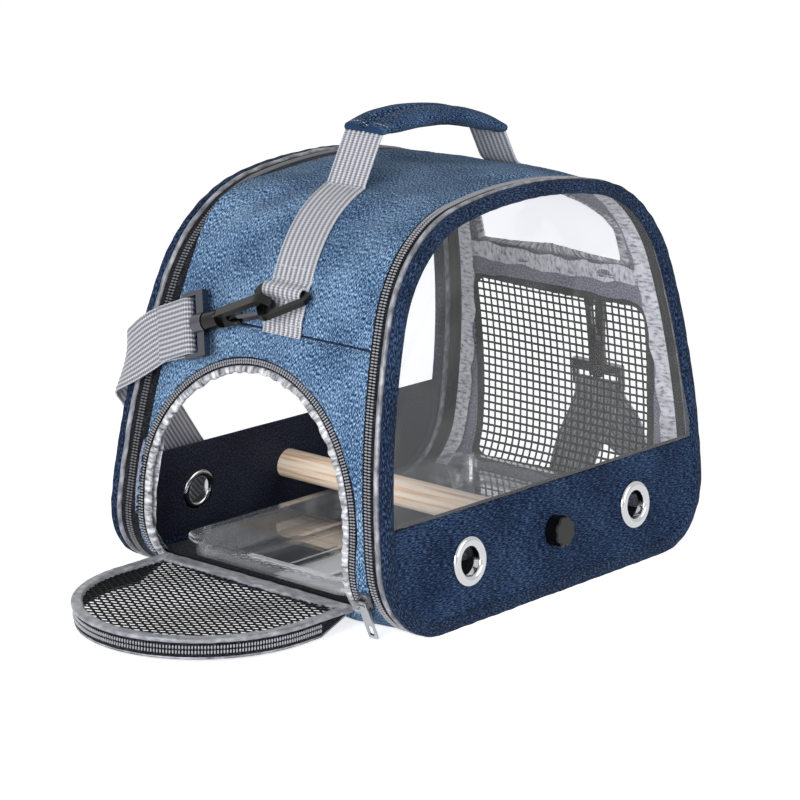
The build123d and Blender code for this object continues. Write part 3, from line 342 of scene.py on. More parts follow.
# %% [markdown]
# ## Hard finishes
#
# The hooks and rings are acetal, moulded and slightly glossy. The strap frames, sliders and eyelets
# are plated metal. The perch is turned beech and the tray is clear styrene. Their frame solids have
# the right shapes already, so only the finish is new, and it reads Object coordinates.

# %% Plastics and metals
# Blotches a few millimetres apart, which is 260 to the metre, in the gloss and the moulded skin.
BLOTCHES, GLOSS_SPREAD, SKIN_RELIEF_MM = 260.0, 0.06, 0.1
PLASTIC, METAL = {"IOR": 1.46}, {"Metallic": 1.0}


def hard_finish(name, shade, rough, sockets):
    """A smooth hard surface whose roughness and skin vary a little, by a noise. sockets holds what
    else its shader needs."""
    material, tree, shader = new_finish(name)
    spot = add(tree, "ShaderNodeTexCoord").outputs["Object"]
    noise = add(tree, "ShaderNodeTexNoise", {"Vector": spot, "Scale": BLOTCHES, "Detail": 4.0})
    span = {0: noise, "To Min": rough - GLOSS_SPREAD, "To Max": rough + GLOSS_SPREAD}
    gloss = add(tree, "ShaderNodeMapRange", span)
    depth = {"Height": noise, "Strength": 0.08, "Distance": SKIN_RELIEF_MM * MM}
    bump = add(tree, "ShaderNodeBump", depth)
    feed(tree, shader, {"Base Color": shade, "Roughness": gloss, "Normal": bump, **sockets})
    return material


# Moulded acetal: black and softly glossy, as it mirrors less than most plastics.
black_acetal = hard_finish(
    "black_moulded_acetal", "#070708", 0.2, {**PLASTIC, "Specular IOR Level": 0.35}
)
# Nylon coil and polyester thread: smooth filament that glints on every turn or stitch.
coil_nylon = hard_finish("pale_nylon_coil", "#A7A8AF", 0.32, PLASTIC)
dark_coil = hard_finish("grey_nylon_coil", "#77787F", 0.35, PLASTIC)
stitch_thread = hard_finish("pale_stitching_thread", "#D9DAE0", 0.55, PLASTIC)
# Plated brass and steel mirror sharply. Cast zip metal is duller, because its skin is grainy.
nickel = hard_finish("nickel_plated_brass", "#BDBEC1", 0.12, METAL)
black_nickel = hard_finish("black_nickel_plating", "#5C5D62", 0.16, METAL)
die_cast = hard_finish("die_cast_zip_metal", "#A5A7AB", 0.24, METAL)
print("plastics and metals ready")

# %% Beech, and the clear plastics
# Beech turned on a lathe: pale, with brown rays a millimetre or two wide along the rod.
GRAIN_ACROSS, GRAIN_ALONG = 420, 14
beech, tree, shader = new_finish("turned_beech")
spot = add(tree, "ShaderNodeTexCoord").outputs["Object"]
grain_scale = (GRAIN_ACROSS, GRAIN_ALONG, GRAIN_ACROSS)
place = add(tree, "ShaderNodeMapping", {0: spot, "Scale": grain_scale})
grain = add(tree, "ShaderNodeTexNoise", {"Vector": place, "Scale": 1.0, "Detail": 5.0})
stops = [(0.24, "#B98A62"), (0.62, "#FFF0DE"), (0.42, "#F6D9BB")]
colours = add(tree, "ShaderNodeValToRGB", {0: grain}, stops)
bump = add(tree, "ShaderNodeBump", {"Height": grain, "Strength": 0.2, "Distance": 0.2 * MM})
feed(tree, shader, {"Base Color": colours, "Normal": bump, "Roughness": 0.45})


def clear_sheet(name, tint, haze, haze_shade, ior=1.45, rough=0.04):
    """Clear plastic as a thin sheet: it lets light straight through, mirrors more at a glancing
    angle, and keeps a share of haze that scatters light as a pale film does. Seen from behind, the
    index is turned over, because a thin sheet mirrors both sides alike."""
    material = bpy.data.materials.new(name)
    tree = bare_tree(material)
    spot = add(tree, "ShaderNodeTexCoord").outputs["Object"]
    cloud = add(tree, "ShaderNodeTexNoise", {"Vector": spot, "Scale": 14.0, "Detail": 3.0})
    span = {"From Min": 0.3, "From Max": 0.7, "To Min": haze * 0.4, "To Max": haze * 1.6}
    share = add(tree, "ShaderNodeMapRange", {0: cloud, **span})
    through = add(tree, "ShaderNodeBsdfTransparent", {"Color": tint})
    mirror = add(tree, "ShaderNodeBsdfGlossy", {"Color": "#FFFFFF", "Roughness": rough})
    film = add(tree, "ShaderNodeBsdfPrincipled", {"Base Color": haze_shade, "Roughness": 0.3})
    behind = add(tree, "ShaderNodeNewGeometry").outputs["Backfacing"]
    bend = add(tree, "ShaderNodeMapRange", {0: behind, "To Min": ior, "To Max": 1 / ior})
    facing = add(tree, "ShaderNodeFresnel", {"IOR": bend})
    sheet = add(tree, "ShaderNodeMixShader", {0: facing, 1: through, 2: mirror})
    hazy = add(tree, "ShaderNodeMixShader", {0: share, 1: sheet, 2: film})
    add(tree, "ShaderNodeOutputMaterial", {"Surface": hazy})
    return material


# Soft window vinyl is all but clear, and the skylight's is clouded. Hard styrene is stiff and
# thick enough to mirror more strongly than a film does.
clear_vinyl = clear_sheet("clear_soft_vinyl", "#FAFBFD", 0.015, "#E8EAF2")
sky_vinyl = clear_sheet("cloudy_skylight_vinyl", "#F6F6FA", 0.07, "#E9E9F1")
clear_styrene = clear_sheet("clear_moulded_styrene", "#F1F3F5", 0.05, "#FFFFFF", 2.0, 0.02)
print("beech and clear finishes ready")

# %% [markdown]
# ## The bag's own shape
#
# Seen from the front, the bag is an arch of circular arcs: a flat roof arc, a tight shoulder, a long
# side that hardly bulges, and a rounded bottom corner. The front and back lean in towards the roof.
# A surface on it is a function of two numbers, the distance s along the arch from its crown and the
# distance y across. They are also where the cloth lay when it was cut, so they make good pattern
# coordinates.

# %% The arch
LENGTH, HEIGHT, BASE_DEPTH, TOP_DEPTH = 330.0, 260.0, 244.0, 184.0
CORNER_R, SIDE_R, SHOULDER_R, ROOF_R = 48.0, 453.0, 92.7, 386.0
SEAM_Z, FLOOR_HALF = 176.0, 125.0
LEAN = (BASE_DEPTH - TOP_DEPTH) / 2 / HEIGHT


def circle_meet(a, a_radius, b, b_radius):
    """Where two circles meet: go along the line of centres to the chord, then square to it."""
    a, b = np.array(a), np.array(b)
    span = np.linalg.norm(b - a)
    along = (a_radius**2 - b_radius**2 + span**2) / (2 * span)
    across = np.sqrt(a_radius**2 - along**2)
    way = (b - a) / span
    square = np.array([-way[1], way[0]])
    ends = [a + along * way + side * across * square for side in (-1, 1)]
    return max(ends, key=lambda end: end[0])


roof_centre = (0.0, HEIGHT - ROOF_R)
side_centre = (LENGTH / 2 - SIDE_R, CORNER_R)
shoulder_centre = circle_meet(
    roof_centre, ROOF_R - SHOULDER_R, side_centre, SIDE_R - SHOULDER_R
)
corner_centre = (LENGTH / 2 - CORNER_R, CORNER_R)
to_shoulder = shoulder_centre - np.array(roof_centre)
to_side = shoulder_centre - np.array(side_centre)
ARC_TURNS = np.array(
    [0, np.arctan2(*to_shoulder), np.arctan2(*to_side), np.pi / 2, np.pi]
)
ARC_RADII = np.array([ROOF_R, SHOULDER_R, SIDE_R, CORNER_R, CORNER_R])
ARC_CENTRES = np.array([roof_centre, shoulder_centre, side_centre, corner_centre, corner_centre])
ARC_STARTS = np.concatenate([[0], np.cumsum(ARC_RADII[:-1] * np.diff(ARC_TURNS))])
ARC_END = ARC_STARTS[4] + corner_centre[0]


def arch(s, inset=0.0):
    """Place and outward direction at s, and inset inside the outline. On an arc the outward
    direction turns from straight up by the distance gone divided by the radius, and the point is
    the centre plus radius times it."""
    s = np.asarray(s, float)
    gone = np.abs(s)
    part = np.clip(np.searchsorted(ARC_STARTS, gone, side="right") - 1, 0, 4)
    past = gone - ARC_STARTS[part]
    on_floor = part == 4
    turned = ARC_TURNS[part] + np.where(on_floor, 0, past / ARC_RADII[part])
    out_x, out_z = np.sin(turned), np.cos(turned)
    x = ARC_CENTRES[part, 0] + (ARC_RADII[part] - inset) * out_x - np.where(on_floor, past, 0)
    z = ARC_CENTRES[part, 1] + (ARC_RADII[part] - inset) * out_z
    side = np.where(s < 0, -1.0, 1.0)
    return side * x, z, side * out_x, out_z


s_table = np.linspace(0, ARC_STARTS[4], 6000)
z_table = arch(s_table)[1]


def s_at(z):
    """Distance from the crown to a height, read back from a table of the arch."""
    return np.interp(-np.asarray(z, float), -z_table, s_table)


def face_y(z, inward=0.0):
    """Distance of the leaning front or back face from the middle, at a height."""
    return BASE_DEPTH / 2 - LEAN * np.asarray(z, float) - inward


def shell(s, y, lift):
    """A point on the arch at s and y, and lift outside it."""
    x, z, out_x, out_z = arch(s)
    return np.stack(np.broadcast_arrays(x + out_x * lift, y, z + out_z * lift), axis=-1)


def outward(s):
    """The arch's outward direction at s, as a vector."""
    _, _, out_x, out_z = arch(s)
    return np.stack(np.broadcast_arrays(out_x, 0.0, out_z), axis=-1)


SEAM_S = float(s_at(SEAM_Z))
print("half the arch is", round(float(ARC_END)), "mm round; its seam is", round(SEAM_S), "mm down")

# %% [markdown]
# ## Grids into meshes
#
# A grid of points with rows and columns is the simplest surface there is. Four neighbours make a
# face, and a row that meets its first again closes it into a tube. The pattern coordinates go into a
# UV map. Closed pieces are turned right side out by the sign of their volume, and open ones by a
# direction that they should face.

# %% Grids and meshes
def grid(rows, cols, wrap_rows=False, wrap_cols=False):
    """Faces of a grid: each point's index is its row times the columns plus its column."""
    i, j = np.meshgrid(
        np.arange(rows if wrap_rows else rows - 1),
        np.arange(cols if wrap_cols else cols - 1),
        indexing="ij",
    )
    corner_i = np.stack([i, i + 1, i + 1, i], axis=-1).reshape(-1, 4)
    corner_j = np.stack([j, j, j + 1, j + 1], axis=-1).reshape(-1, 4)
    return (corner_i % rows) * cols + corner_j % cols, corner_i, corner_j


def face_normals(points, faces):
    """Twice each four-sided face's area along its normal: the cross product of its diagonals."""
    corner = points[faces]
    return np.cross(corner[:, 2] - corner[:, 0], corner[:, 3] - corner[:, 1])


def build(name, points, faces, uv, caps):
    """A smooth mesh object from points in mm, faces, a pattern coordinate in mm for each of their
    corners, and the faces that close its ends."""
    mesh = bpy.data.meshes.new(name)
    polygons = faces.tolist() + [list(cap) for cap in caps]
    mesh.from_pydata((points * MM).tolist(), [], polygons)
    flat = np.zeros((len(mesh.loops), 2), np.float32)
    flat[: len(uv) * uv.shape[1]] = (uv * MM).reshape(-1, 2)
    mesh.uv_layers.new(name=PATTERN).data.foreach_set("uv", flat.ravel())
    mesh.polygons.foreach_set("use_smooth", np.full(len(mesh.polygons), True))
    mesh.validate(clean_customdata=False)
    made = bpy.data.objects.new(name, mesh)
    bpy.context.scene.collection.objects.link(made)
    return made


def surface(name, points, pattern, facing=None, wrap=(False, False), caps=False, keep=None):
    """A grid of points (rows, columns, 3) as a mesh. pattern has one more row or column than the
    points where they wrap. facing turns an open surface; a closed one is turned by its volume."""
    rows, cols = points.shape[:2]
    faces, corner_i, corner_j = grid(rows, cols, *wrap)
    flat = points.reshape(-1, 3)
    uv = pattern[corner_i, corner_j]
    normals = face_normals(flat, faces)
    if keep is not None:
        shown = keep.reshape(-1)[faces].all(axis=1)
        faces, uv, normals = faces[shown], uv[shown], normals[shown]
    if facing is None:
        middle = flat[faces].mean(axis=1) - flat.mean(axis=0)
        turned = np.einsum("ij,ij->", middle, normals)
    else:
        turned = np.einsum("ij,ij->", np.broadcast_to(facing, flat.shape)[faces[:, 0]], normals)
    first = np.arange(cols)
    ends = [first, first[::-1] + (rows - 1) * cols] if caps else []
    if turned < 0:
        faces, uv = faces[:, ::-1], uv[:, ::-1]
        ends = [end[::-1] for end in ends]
    return build(name, flat, faces, uv, ends)


def pattern_of(a, b):
    """Pattern coordinates from two arrays: a runs across the columns and b down the rows."""
    return np.stack(np.broadcast_arrays(a, b), axis=-1).astype(float)


def tube(name, points, pattern):
    """A closed tube: the columns go once round it, the rows along it, and its ends are capped."""
    return surface(name, points, pattern, wrap=(False, True), caps=True)


def dress(made, material, body, slot, *covered):
    """Give a piece its finish, its body and the frame nodes that it stands for. slot is not used."""
    made.data.materials.append(material)
    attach(made, body)
    if covered:
        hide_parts(*covered)
    return made


def thicken(made, thickness_mm, inner=None):
    """Give an open sheet a thickness, inwards from its outside, with a lining if there is one."""
    wall = made.modifiers.new("wall", "SOLIDIFY")
    wall.thickness = thickness_mm * MM
    wall.offset = -1
    if inner is not None:
        made.data.materials.append(inner)
        wall.material_offset = 1
    return made


def waves(a, b, size, count, seed):
    """Soft unevenness from -1 to 1: a sum of sine waves of random direction, as long as size to
    three times size, each weaker the shorter it is."""
    chance = np.random.default_rng(seed)
    total = 0.0
    weight = 0.0
    for length in size * np.exp(chance.uniform(0, 1.1, count)):
        way = chance.uniform(0, 2 * np.pi)
        start = chance.uniform(0, 2 * np.pi)
        total = total + length * np.sin(
            2 * np.pi * (a * np.cos(way) + b * np.sin(way)) / length + start
        )
        weight += length
    return total / weight * 2


def near(value, middle, width):
    """A smooth bump of height one: e to the minus square of the distance over the width."""
    return np.exp(-(((value - middle) / width) ** 2))


def gone_along(*parts):
    """Distance along a line to each of its points, from its coordinates: each step is the root of
    the sum of the squared differences, and the steps are added up."""
    steps = np.sqrt(sum(np.diff(part) ** 2 for part in parts))
    return np.concatenate([[0], np.cumsum(steps)])

# %% [markdown]
# ## Ends and roof
#
# Each end and the roof is one piece of padded canvas, sewn to its neighbours where the cloth pinches
# in. The ends and the roof have an opening: the door, the mesh and the skylight. Cutting a hole in a
# grid leaves steps, so the grid runs from the opening's outline out to the piece's edges, along rays
# from the middle. The cloth stands a little proud between its seams and is never quite even. The
# wall then gets its thickness and a grey lining from Solidify.

# %% A piece of cloth round an opening
FRONT_DEPTH, BACK_DEPTH = 18.3, 25.0
DOOR_SPRING_Z, FRAME_HALF, FRAME_RISE, SILL_Z = 60.0, 92.0, 98.0, 14.0
WALL_T, CLOTH_SINK = 3.4, 0.3
PUFF, SEAM_PINCH, SEAM_PINCH_W = 2.0, 3.0, 3.0
WEBBING_Y, WEBBING_REACH = -7.0, 20.0
BULGE_S, BULGE, CREASE, SPILL = -112.0, 5.5, 2.2, 5.0


def edge_y(z, share):
    """y between the zips beside the cloth: share runs from -1 at the front to 1 at the back."""
    front, rear = face_y(z, FRONT_DEPTH), face_y(z, BACK_DEPTH)
    return (rear - front) / 2 + share * (rear + front) / 2


def share_of(y, z):
    """The share that edge_y turns into y."""
    front, rear = face_y(z, FRONT_DEPTH), face_y(z, BACK_DEPTH)
    return (y - (rear - front) / 2) / ((rear + front) / 2)


def door_line(half, rise, sill, spring=DOOR_SPRING_Z, count=241):
    """Straight sides under half an ellipse, as y and z, from the front sill round to the back."""
    turned = np.linspace(np.pi, 0, count)
    sides = np.linspace(sill, spring, 30)[:-1]
    y = np.concatenate([np.full(29, -half), half * np.cos(turned), np.full(29, half)])
    z = np.concatenate([sides, spring + rise * np.sin(turned), sides[::-1]])
    return y, z


def soft_box(half, low, high, radius, count=24):
    """A rectangle with round corners, as y and z."""
    quarter = np.linspace(0, np.pi / 2, count)
    y, z = [], []
    for turn, (side, end) in enumerate(((1, 1), (-1, 1), (-1, -1), (1, -1))):
        angle = quarter + turn * np.pi / 2
        y.append(side * (half - radius) + radius * np.cos(angle))
        z.append((high if end > 0 else low) - end * radius + radius * np.sin(angle))
    return np.concatenate(y), np.concatenate(z)


def closed_line(line, count=900):
    """An outline joined up to a ring, with its points spread evenly along its length."""
    y, z = [np.append(part, part[0]) for part in line]
    gone = gone_along(y, z)
    at = np.linspace(0, gone[-1], count)
    return np.interp(at, gone, y), np.interp(at, gone, z)


def round_opening(line, side, s_low, s_high, middle_z, rows=26, count=400):
    """Grid of shares and s from an opening's outline to the cloth's edges, along rays from the
    middle. Each ray's outline point is read from the outline by its direction, and its far point is
    where it first meets an edge. Rays also go to the four corners, so that none is cut off."""
    middle = np.array([0.0, side * float(s_at(middle_z))])
    y, z = closed_line(line)
    outline = np.stack([share_of(y, z) * 100, side * s_at(z)], axis=-1) - middle
    box_low = np.array([-100.0, min(s_low, s_high)]) - middle
    box_high = np.array([100.0, max(s_low, s_high)]) - middle
    corners = [np.arctan2(v, u) for u in (box_low[0], box_high[0]) for v in (box_low[1], box_high[1])]
    ways = np.sort(np.concatenate([np.linspace(-np.pi, np.pi, count, endpoint=False), corners]))
    directions = np.arctan2(outline[:, 1], outline[:, 0])
    order = np.argsort(directions)
    reach = np.interp(
        ways, directions[order], np.linalg.norm(outline, axis=1)[order], period=2 * np.pi
    )
    way = np.stack([np.cos(ways), np.sin(ways)], axis=-1)
    level = np.abs(way) < 1e-9
    limits = np.where(way > 0, box_high, box_low) / np.where(level, 1.0, way)
    far = np.where(level, np.inf, limits).min(axis=1)
    out = np.linspace(0, 1, rows)[:, None, None]
    spots = middle + way * (reach[:, None] + (far - reach)[:, None] * out)
    return spots[..., 0] / 100, spots[..., 1]


def cloth_lift(share, s, y):
    """How far the cloth stands off the arch: padding between seams, less a pinch at the side seam,
    plus broad unevenness, which the webbing sewn down the middle holds flat. Near the roof's left
    rear the spare cloth bulges over the zip."""
    padding = PUFF * (1 - np.abs(share) ** 6)
    pinch = SEAM_PINCH * near(np.abs(s), SEAM_S, SEAM_PINCH_W)
    uneven = 1.7 * waves(y, s, 36, 14, 5) + 0.6 * waves(y, s, 12, 14, 6)
    uneven = uneven * (1 - 0.9 * near(y, WEBBING_Y, WEBBING_REACH))
    bulge = BULGE * near(s, BULGE_S, 34) * np.clip((share - 0.45) / 0.55, 0, 1) ** 1.5
    slant = np.sin((s * 0.8 + y * 0.6) / 7)
    creases = CREASE * slant * near(share, 0.6, 0.24) * near(s, BULGE_S + 2, 40)
    edge = 1 - np.abs(share) ** 20
    return (padding - pinch + uneven + creases) * edge + bulge - CLOTH_SINK


def cloth_wall(name, share, s, wrap_cols=True):
    """A padded sheet of cloth from shares and s, facing out of the bag."""
    _, z, _, _ = arch(s)
    y = edge_y(z, share)
    lift = cloth_lift(share, s, y)
    spill = SPILL * near(s, BULGE_S, 30) * np.clip((share - 0.8) / 0.2, 0, 1)
    points = shell(s, y + spill, lift)
    pattern = pattern_of(y, s)
    if wrap_cols:
        pattern = np.concatenate([pattern, pattern[:, :1]], axis=1)
    return surface(name, points, pattern, outward(s).reshape(-1, 3), (False, wrap_cols))


# The ends stop at the floor board's edge, where the bottom corner has come round to its x.
foot_turn = np.pi / 2 - np.arcsin((FLOOR_HALF - corner_centre[0]) / CORNER_R)
S_FOOT = ARC_STARTS[3] + CORNER_R * foot_turn
DOOR_RAYS_Z, NET_RAYS_Z = 75.0, 88.0
door_hole = door_line(FRAME_HALF, FRAME_RISE, SILL_Z)
mesh_hole = soft_box(76.0, 20.0, 158.0, 10.0)
left_rays = round_opening(door_hole, -1, -SEAM_S, -S_FOOT, DOOR_RAYS_Z)
left_cloth = cloth_wall("left_end_cloth", *left_rays)
right_rays = round_opening(mesh_hole, 1, SEAM_S, S_FOOT, NET_RAYS_Z)
right_cloth = cloth_wall("right_end_cloth", *right_rays)
print("ends cut from", round(float(S_FOOT - SEAM_S)), "mm of canvas each")

# %% The roof and its skylight
SKY_HALF, SKY_LOW, SKY_SPRING, SKY_RISE = 64.0, 184.0, 205.0, 35.0
SKY_RAYS_Z, SKY_MIDDLE_Z = 212.0, 206.0
SKY_TOP_S = float(s_at(248.0))
sky_hole = door_line(SKY_HALF, SKY_RISE, SKY_LOW, SKY_SPRING)
sky_rays = round_opening(sky_hole, 1, SKY_TOP_S, SEAM_S, SKY_RAYS_Z)
shoulder_cloth = cloth_wall("right_shoulder_cloth", *sky_rays)
roof_share, roof_s = np.meshgrid(np.linspace(-1, 1, 90), np.linspace(-SEAM_S, SKY_TOP_S, 150))
roof_cloth = cloth_wall("roof_cloth", roof_share, roof_s, wrap_cols=False)
for made, covered in (
    (left_cloth, "left_end_panel"),
    (right_cloth, "right_end_panel"),
    (roof_cloth, "roof_panel"),
    (shoulder_cloth, "roof_panel"),
):
    dress(made, blue_cloth, "carrier", "blue_cloth", covered)
    thicken(made, WALL_T, grey_lining)
print("roof cut with", round(SKY_TOP_S + SEAM_S), "mm of canvas before the skylight")

# %% [markdown]
# The floor is a stiff board inside navy canvas. It hardly bends, so it is one flat padded sheet that
# runs between the two bottom corners.

# %% The floor
FLOOR_INSET, FLOOR_SINK = 10.3, 0.4
floor_share, floor_s = np.meshgrid(
    np.linspace(-1, 1, 70), np.linspace(S_FOOT, 2 * ARC_END - S_FOOT, 80)
)
floor_s = np.where(floor_s > ARC_END, floor_s - 2 * ARC_END, floor_s)
floor_y = floor_share * face_y(0, FLOOR_INSET)
floor_points = shell(floor_s, floor_y, -FLOOR_SINK)
floor_out = outward(floor_s).reshape(-1, 3)
floor_cloth = surface("floor_cloth", floor_points, pattern_of(floor_y, floor_s), floor_out)
dress(thicken(floor_cloth, WALL_T), navy_cloth, "carrier", "navy_cloth", "floor_panel")
print("floor is", round(float(np.ptp(floor_y))), "mm deep")

# %% [markdown]
# Foam fills its cover out, so padded pieces are blown up a little by simulated cloth. The piece's own
# mesh is simulated, and not a remeshed copy, because its grid is already even and its seams and
# pattern coordinates stay. The points along a seam, and those that rest on something, are held.

# %% Padding by simulated cloth
BILLOW_FRAMES = 20


def billow(piece, pressure, most, held):
    """Swell a closed piece by air pressure. Each free point keeps its simulated move from where it
    began, shortened to most, in mm, where it is longer. held lists the points that stay."""
    mesh = piece.data
    before = np.empty(3 * len(mesh.vertices), np.float32)
    mesh.vertices.foreach_get("co", before)
    trial = bpy.data.objects.new(piece.name + "_trial", mesh.copy())
    scene = bpy.context.scene
    scene.collection.objects.link(trial)
    trial.vertex_groups.new(name="held").add([int(point) for point in held], 1.0, "REPLACE")
    air = trial.modifiers.new("air", "CLOTH")
    air.settings.vertex_group_mass = "held"
    air.settings.use_pressure = True
    air.settings.uniform_pressure_force = pressure
    air.settings.effector_weights.gravity = 0.0
    air.point_cache.frame_start = 1
    air.point_cache.frame_end = BILLOW_FRAMES
    for frame in range(1, BILLOW_FRAMES + 1):
        scene.frame_set(frame)
    swollen = trial.evaluated_get(bpy.context.evaluated_depsgraph_get()).data
    after = np.empty_like(before)
    swollen.vertices.foreach_get("co", after)
    bpy.data.objects.remove(trial)
    scene.frame_set(1)
    move = (after - before).reshape(-1, 3)
    length = np.linalg.norm(move, axis=1, keepdims=True)
    move = move * np.minimum(1, most * MM / np.maximum(length, 1e-9))
    mesh.vertices.foreach_set("co", (before + move.ravel()).astype(np.float32))
    mesh.update()
    mean = float(np.linalg.norm(move, axis=1).mean() / MM)
    print(piece.name, "moved by", round(mean, 2), "mm on average")

# %% [markdown]
# On the floor lies a loose mat: black felt round a thin pad, as wide as the cabin. It is crowned a
# little between its edges, where the felt was sewn together. Its section along the bag is a closed
# line, along the inside of the floor and back over the top, and it thins to a feather edge at both
# ends. The simulated air then lifts its top, and its underside and edges are held, as they rest on
# the floor.

# %% The mat
MAT_TOP, MAT_INSET, MAT_END_X, MAT_EDGE_T = 16.4, 4.4, 146.3, 0.5
MAT_ROWS, MAT_COLS, MAT_HEM_ROWS, MAT_HEM_COLS = 70, 120, 4, 6
MAT_AIR, MAT_SWELL = 10.0, 0.5
MAT_DEPTH = {"front": 14.8, "back": 16.8}
mat_x = np.linspace(-MAT_END_X, MAT_END_X, MAT_COLS)
mat_way = np.sin(np.linspace(-np.pi / 2, np.pi / 2, MAT_ROWS))[:, None]
low_x, low_z, _, _ = arch(np.linspace(ARC_STARTS[3], ARC_END, 500), MAT_INSET)
mat_low = np.interp(np.abs(mat_x), low_x[::-1], low_z[::-1])
mat_y = (
    (1 + mat_way) * face_y(MAT_TOP, MAT_DEPTH["back"])
    - (1 - mat_way) * face_y(MAT_TOP, MAT_DEPTH["front"])
) / 2
mat_high = MAT_TOP - 1.4 * np.abs(mat_x / MAT_END_X) ** 14
mat_high = mat_high - 0.6 - 0.3 * waves(mat_x, mat_y, 55, 10, 17)
crown = np.sqrt(1 - 0.99 * np.abs(mat_way) ** 16)
mat_high = mat_low + np.maximum(mat_high - mat_low, MAT_EDGE_T) * crown
mat_points = np.stack(
    np.broadcast_arrays(
        np.concatenate([mat_x, mat_x[::-1]]),
        mat_y,
        np.concatenate([mat_low + 0 * mat_high, mat_high[:, ::-1]], axis=1),
    ),
    axis=-1,
)
mat_round = np.arange(2 * MAT_COLS + 1) * 2 * MAT_END_X / MAT_COLS
mat = tube("base_mat_pad", mat_points, pattern_of(mat_round[None, :], mat_y))
dress(mat, mat_cloth, "carrier", "dark_mat", "base_mat")
mat_rests = np.ones((MAT_ROWS, 2 * MAT_COLS), bool)
mat_rests[MAT_HEM_ROWS:-MAT_HEM_ROWS, MAT_COLS + MAT_HEM_COLS : -MAT_HEM_COLS] = False
billow(mat, MAT_AIR, MAT_SWELL, np.flatnonzero(mat_rests))
print("mat is", round(float(2 * MAT_END_X)), "mm long")

# %% [markdown]
# ## Trims carried along an edge
#
# The front and back each swing down on a sewn hinge, so all that frames a window belongs to its
# flap: a folded tape at the very edge, a satin cord, and half of the zip. Each is one cross-section
# carried along the arch. The section's two numbers are the distance in from the outline and the
# depth behind the face, so it leans with the face by itself. A little unevenness along the way keeps
# it from looking moulded.

# %% Sections carried along the arch
SIDES = {"front": -1, "back": 1}
FLAP_ZIP_W = {"front": 4.0, "back": 6.0}
FRAME_ZIP_W = {"front": 4.0, "back": 8.7}
ZIP_FROM = 10.0
full_round = np.linspace(-ARC_END, ARC_END, 1400, endpoint=False)
over_top = np.linspace(-S_FOOT, S_FOOT, 1100)


def along_edge(s, inset, depth, side):
    """A point in from the arch's outline and behind the front or back face."""
    x, z, out_x, out_z = arch(s)
    x, z = x - out_x * inset, z - out_z * inset
    return np.stack(np.broadcast_arrays(x, side * face_y(z, depth), z), axis=-1)


def round_bar(u_low, u_high, v_low, v_high, radius, count=5):
    """A closed section: a rectangle with round corners, going once round. On the faces u is the
    distance in from the outline, and v the depth behind the face."""
    quarter = np.linspace(0, np.pi / 2, count)
    u, v = [], []
    for turn, (u_side, v_side) in enumerate(((1, 1), (-1, 1), (-1, -1), (1, -1))):
        angle = quarter + turn * np.pi / 2
        u.append((u_high - radius if u_side > 0 else u_low + radius) + radius * np.cos(angle))
        v.append((v_high - radius if v_side > 0 else v_low + radius) + radius * np.sin(angle))
    return np.stack([np.concatenate(u), np.concatenate(v)], axis=-1)


def girth(section):
    """Distance round a closed section to each of its points, and all the way round."""
    return gone_along(*np.concatenate([section, section[:1]]).T)


def edge_trim(side_name, part, section, s, swell, seed, closed=False):
    """A section carried along one face's edge. swell moves the whole section out by soft noise."""
    side = SIDES[side_name]
    uneven = swell * waves(s, 0 * s, 9, 10, seed)[:, None]
    points = along_edge(s[:, None], section[:, 0] - uneven, section[:, 1] - uneven * 0.6, side)
    length = np.append(s, ARC_END) if closed else s
    pattern = pattern_of(girth(section)[None, :], length[:, None])
    name = f"{side_name}_{part}"
    return surface(name, points, pattern, wrap=(closed, True), caps=not closed)


EDGE_TAPE = round_bar(-0.5, 8.8, -0.5, 5.7, 2.3)
SATIN_CORD = round_bar(-0.9, 4.6, 5.5, 9.3, 1.85)
SEWN_SWELL, ZIP_SWELL = 0.25, 0.12
for side_name in SIDES:
    flap = side_name + "_flap"
    zip_mid = ZIP_FROM + FLAP_ZIP_W[side_name]
    zip_far = zip_mid + 0.3 + FRAME_ZIP_W[side_name]
    binding = edge_trim(side_name, "edge_tape", EDGE_TAPE, full_round, SEWN_SWELL, 3, closed=True)
    dress(binding, navy_tape, flap, "navy_binding", side_name + "_binding")
    cord = edge_trim(side_name, "satin_cord", SATIN_CORD, full_round, SEWN_SWELL, 4, closed=True)
    dress(cord, piping_satin, flap, "grey_piping", side_name + "_piping")
    section = round_bar(0.6, 2.2, 8.9, zip_mid - 0.1, 0.5)
    zip_half = edge_trim(side_name, "flap_zip_tape", section, over_top, ZIP_SWELL, 5)
    dress(zip_half, zip_cloth, flap, "zip_tape", side_name + "_flap_zip")
    section = round_bar(0.6, 2.4, zip_mid + 0.35, zip_far + 0.6, 0.5)
    zip_half = edge_trim(side_name, "frame_zip_tape", section, over_top, ZIP_SWELL, 6)
    dress(zip_half, zip_cloth, "carrier", "zip_tape", side_name + "_frame_zip")
print("edge trims ready")

# %% [markdown]
# ## Small things in rows
#
# A zip's coil shows as two rows of little bars, and a seam as a row of stitches. Each is the same
# small bar, thick in the middle, set out hundreds of times. All copies are one mesh: a template's
# points times each copy's three directions, added to its place.

# %% Rows of small bars
BAR_SIDES = 6
BAR_RINGS = np.array([[-1, 0.55], [-0.4, 1], [0.4, 1], [1, 0.55]])
BAR_TURNS = np.linspace(0, 2 * np.pi, BAR_SIDES, endpoint=False)


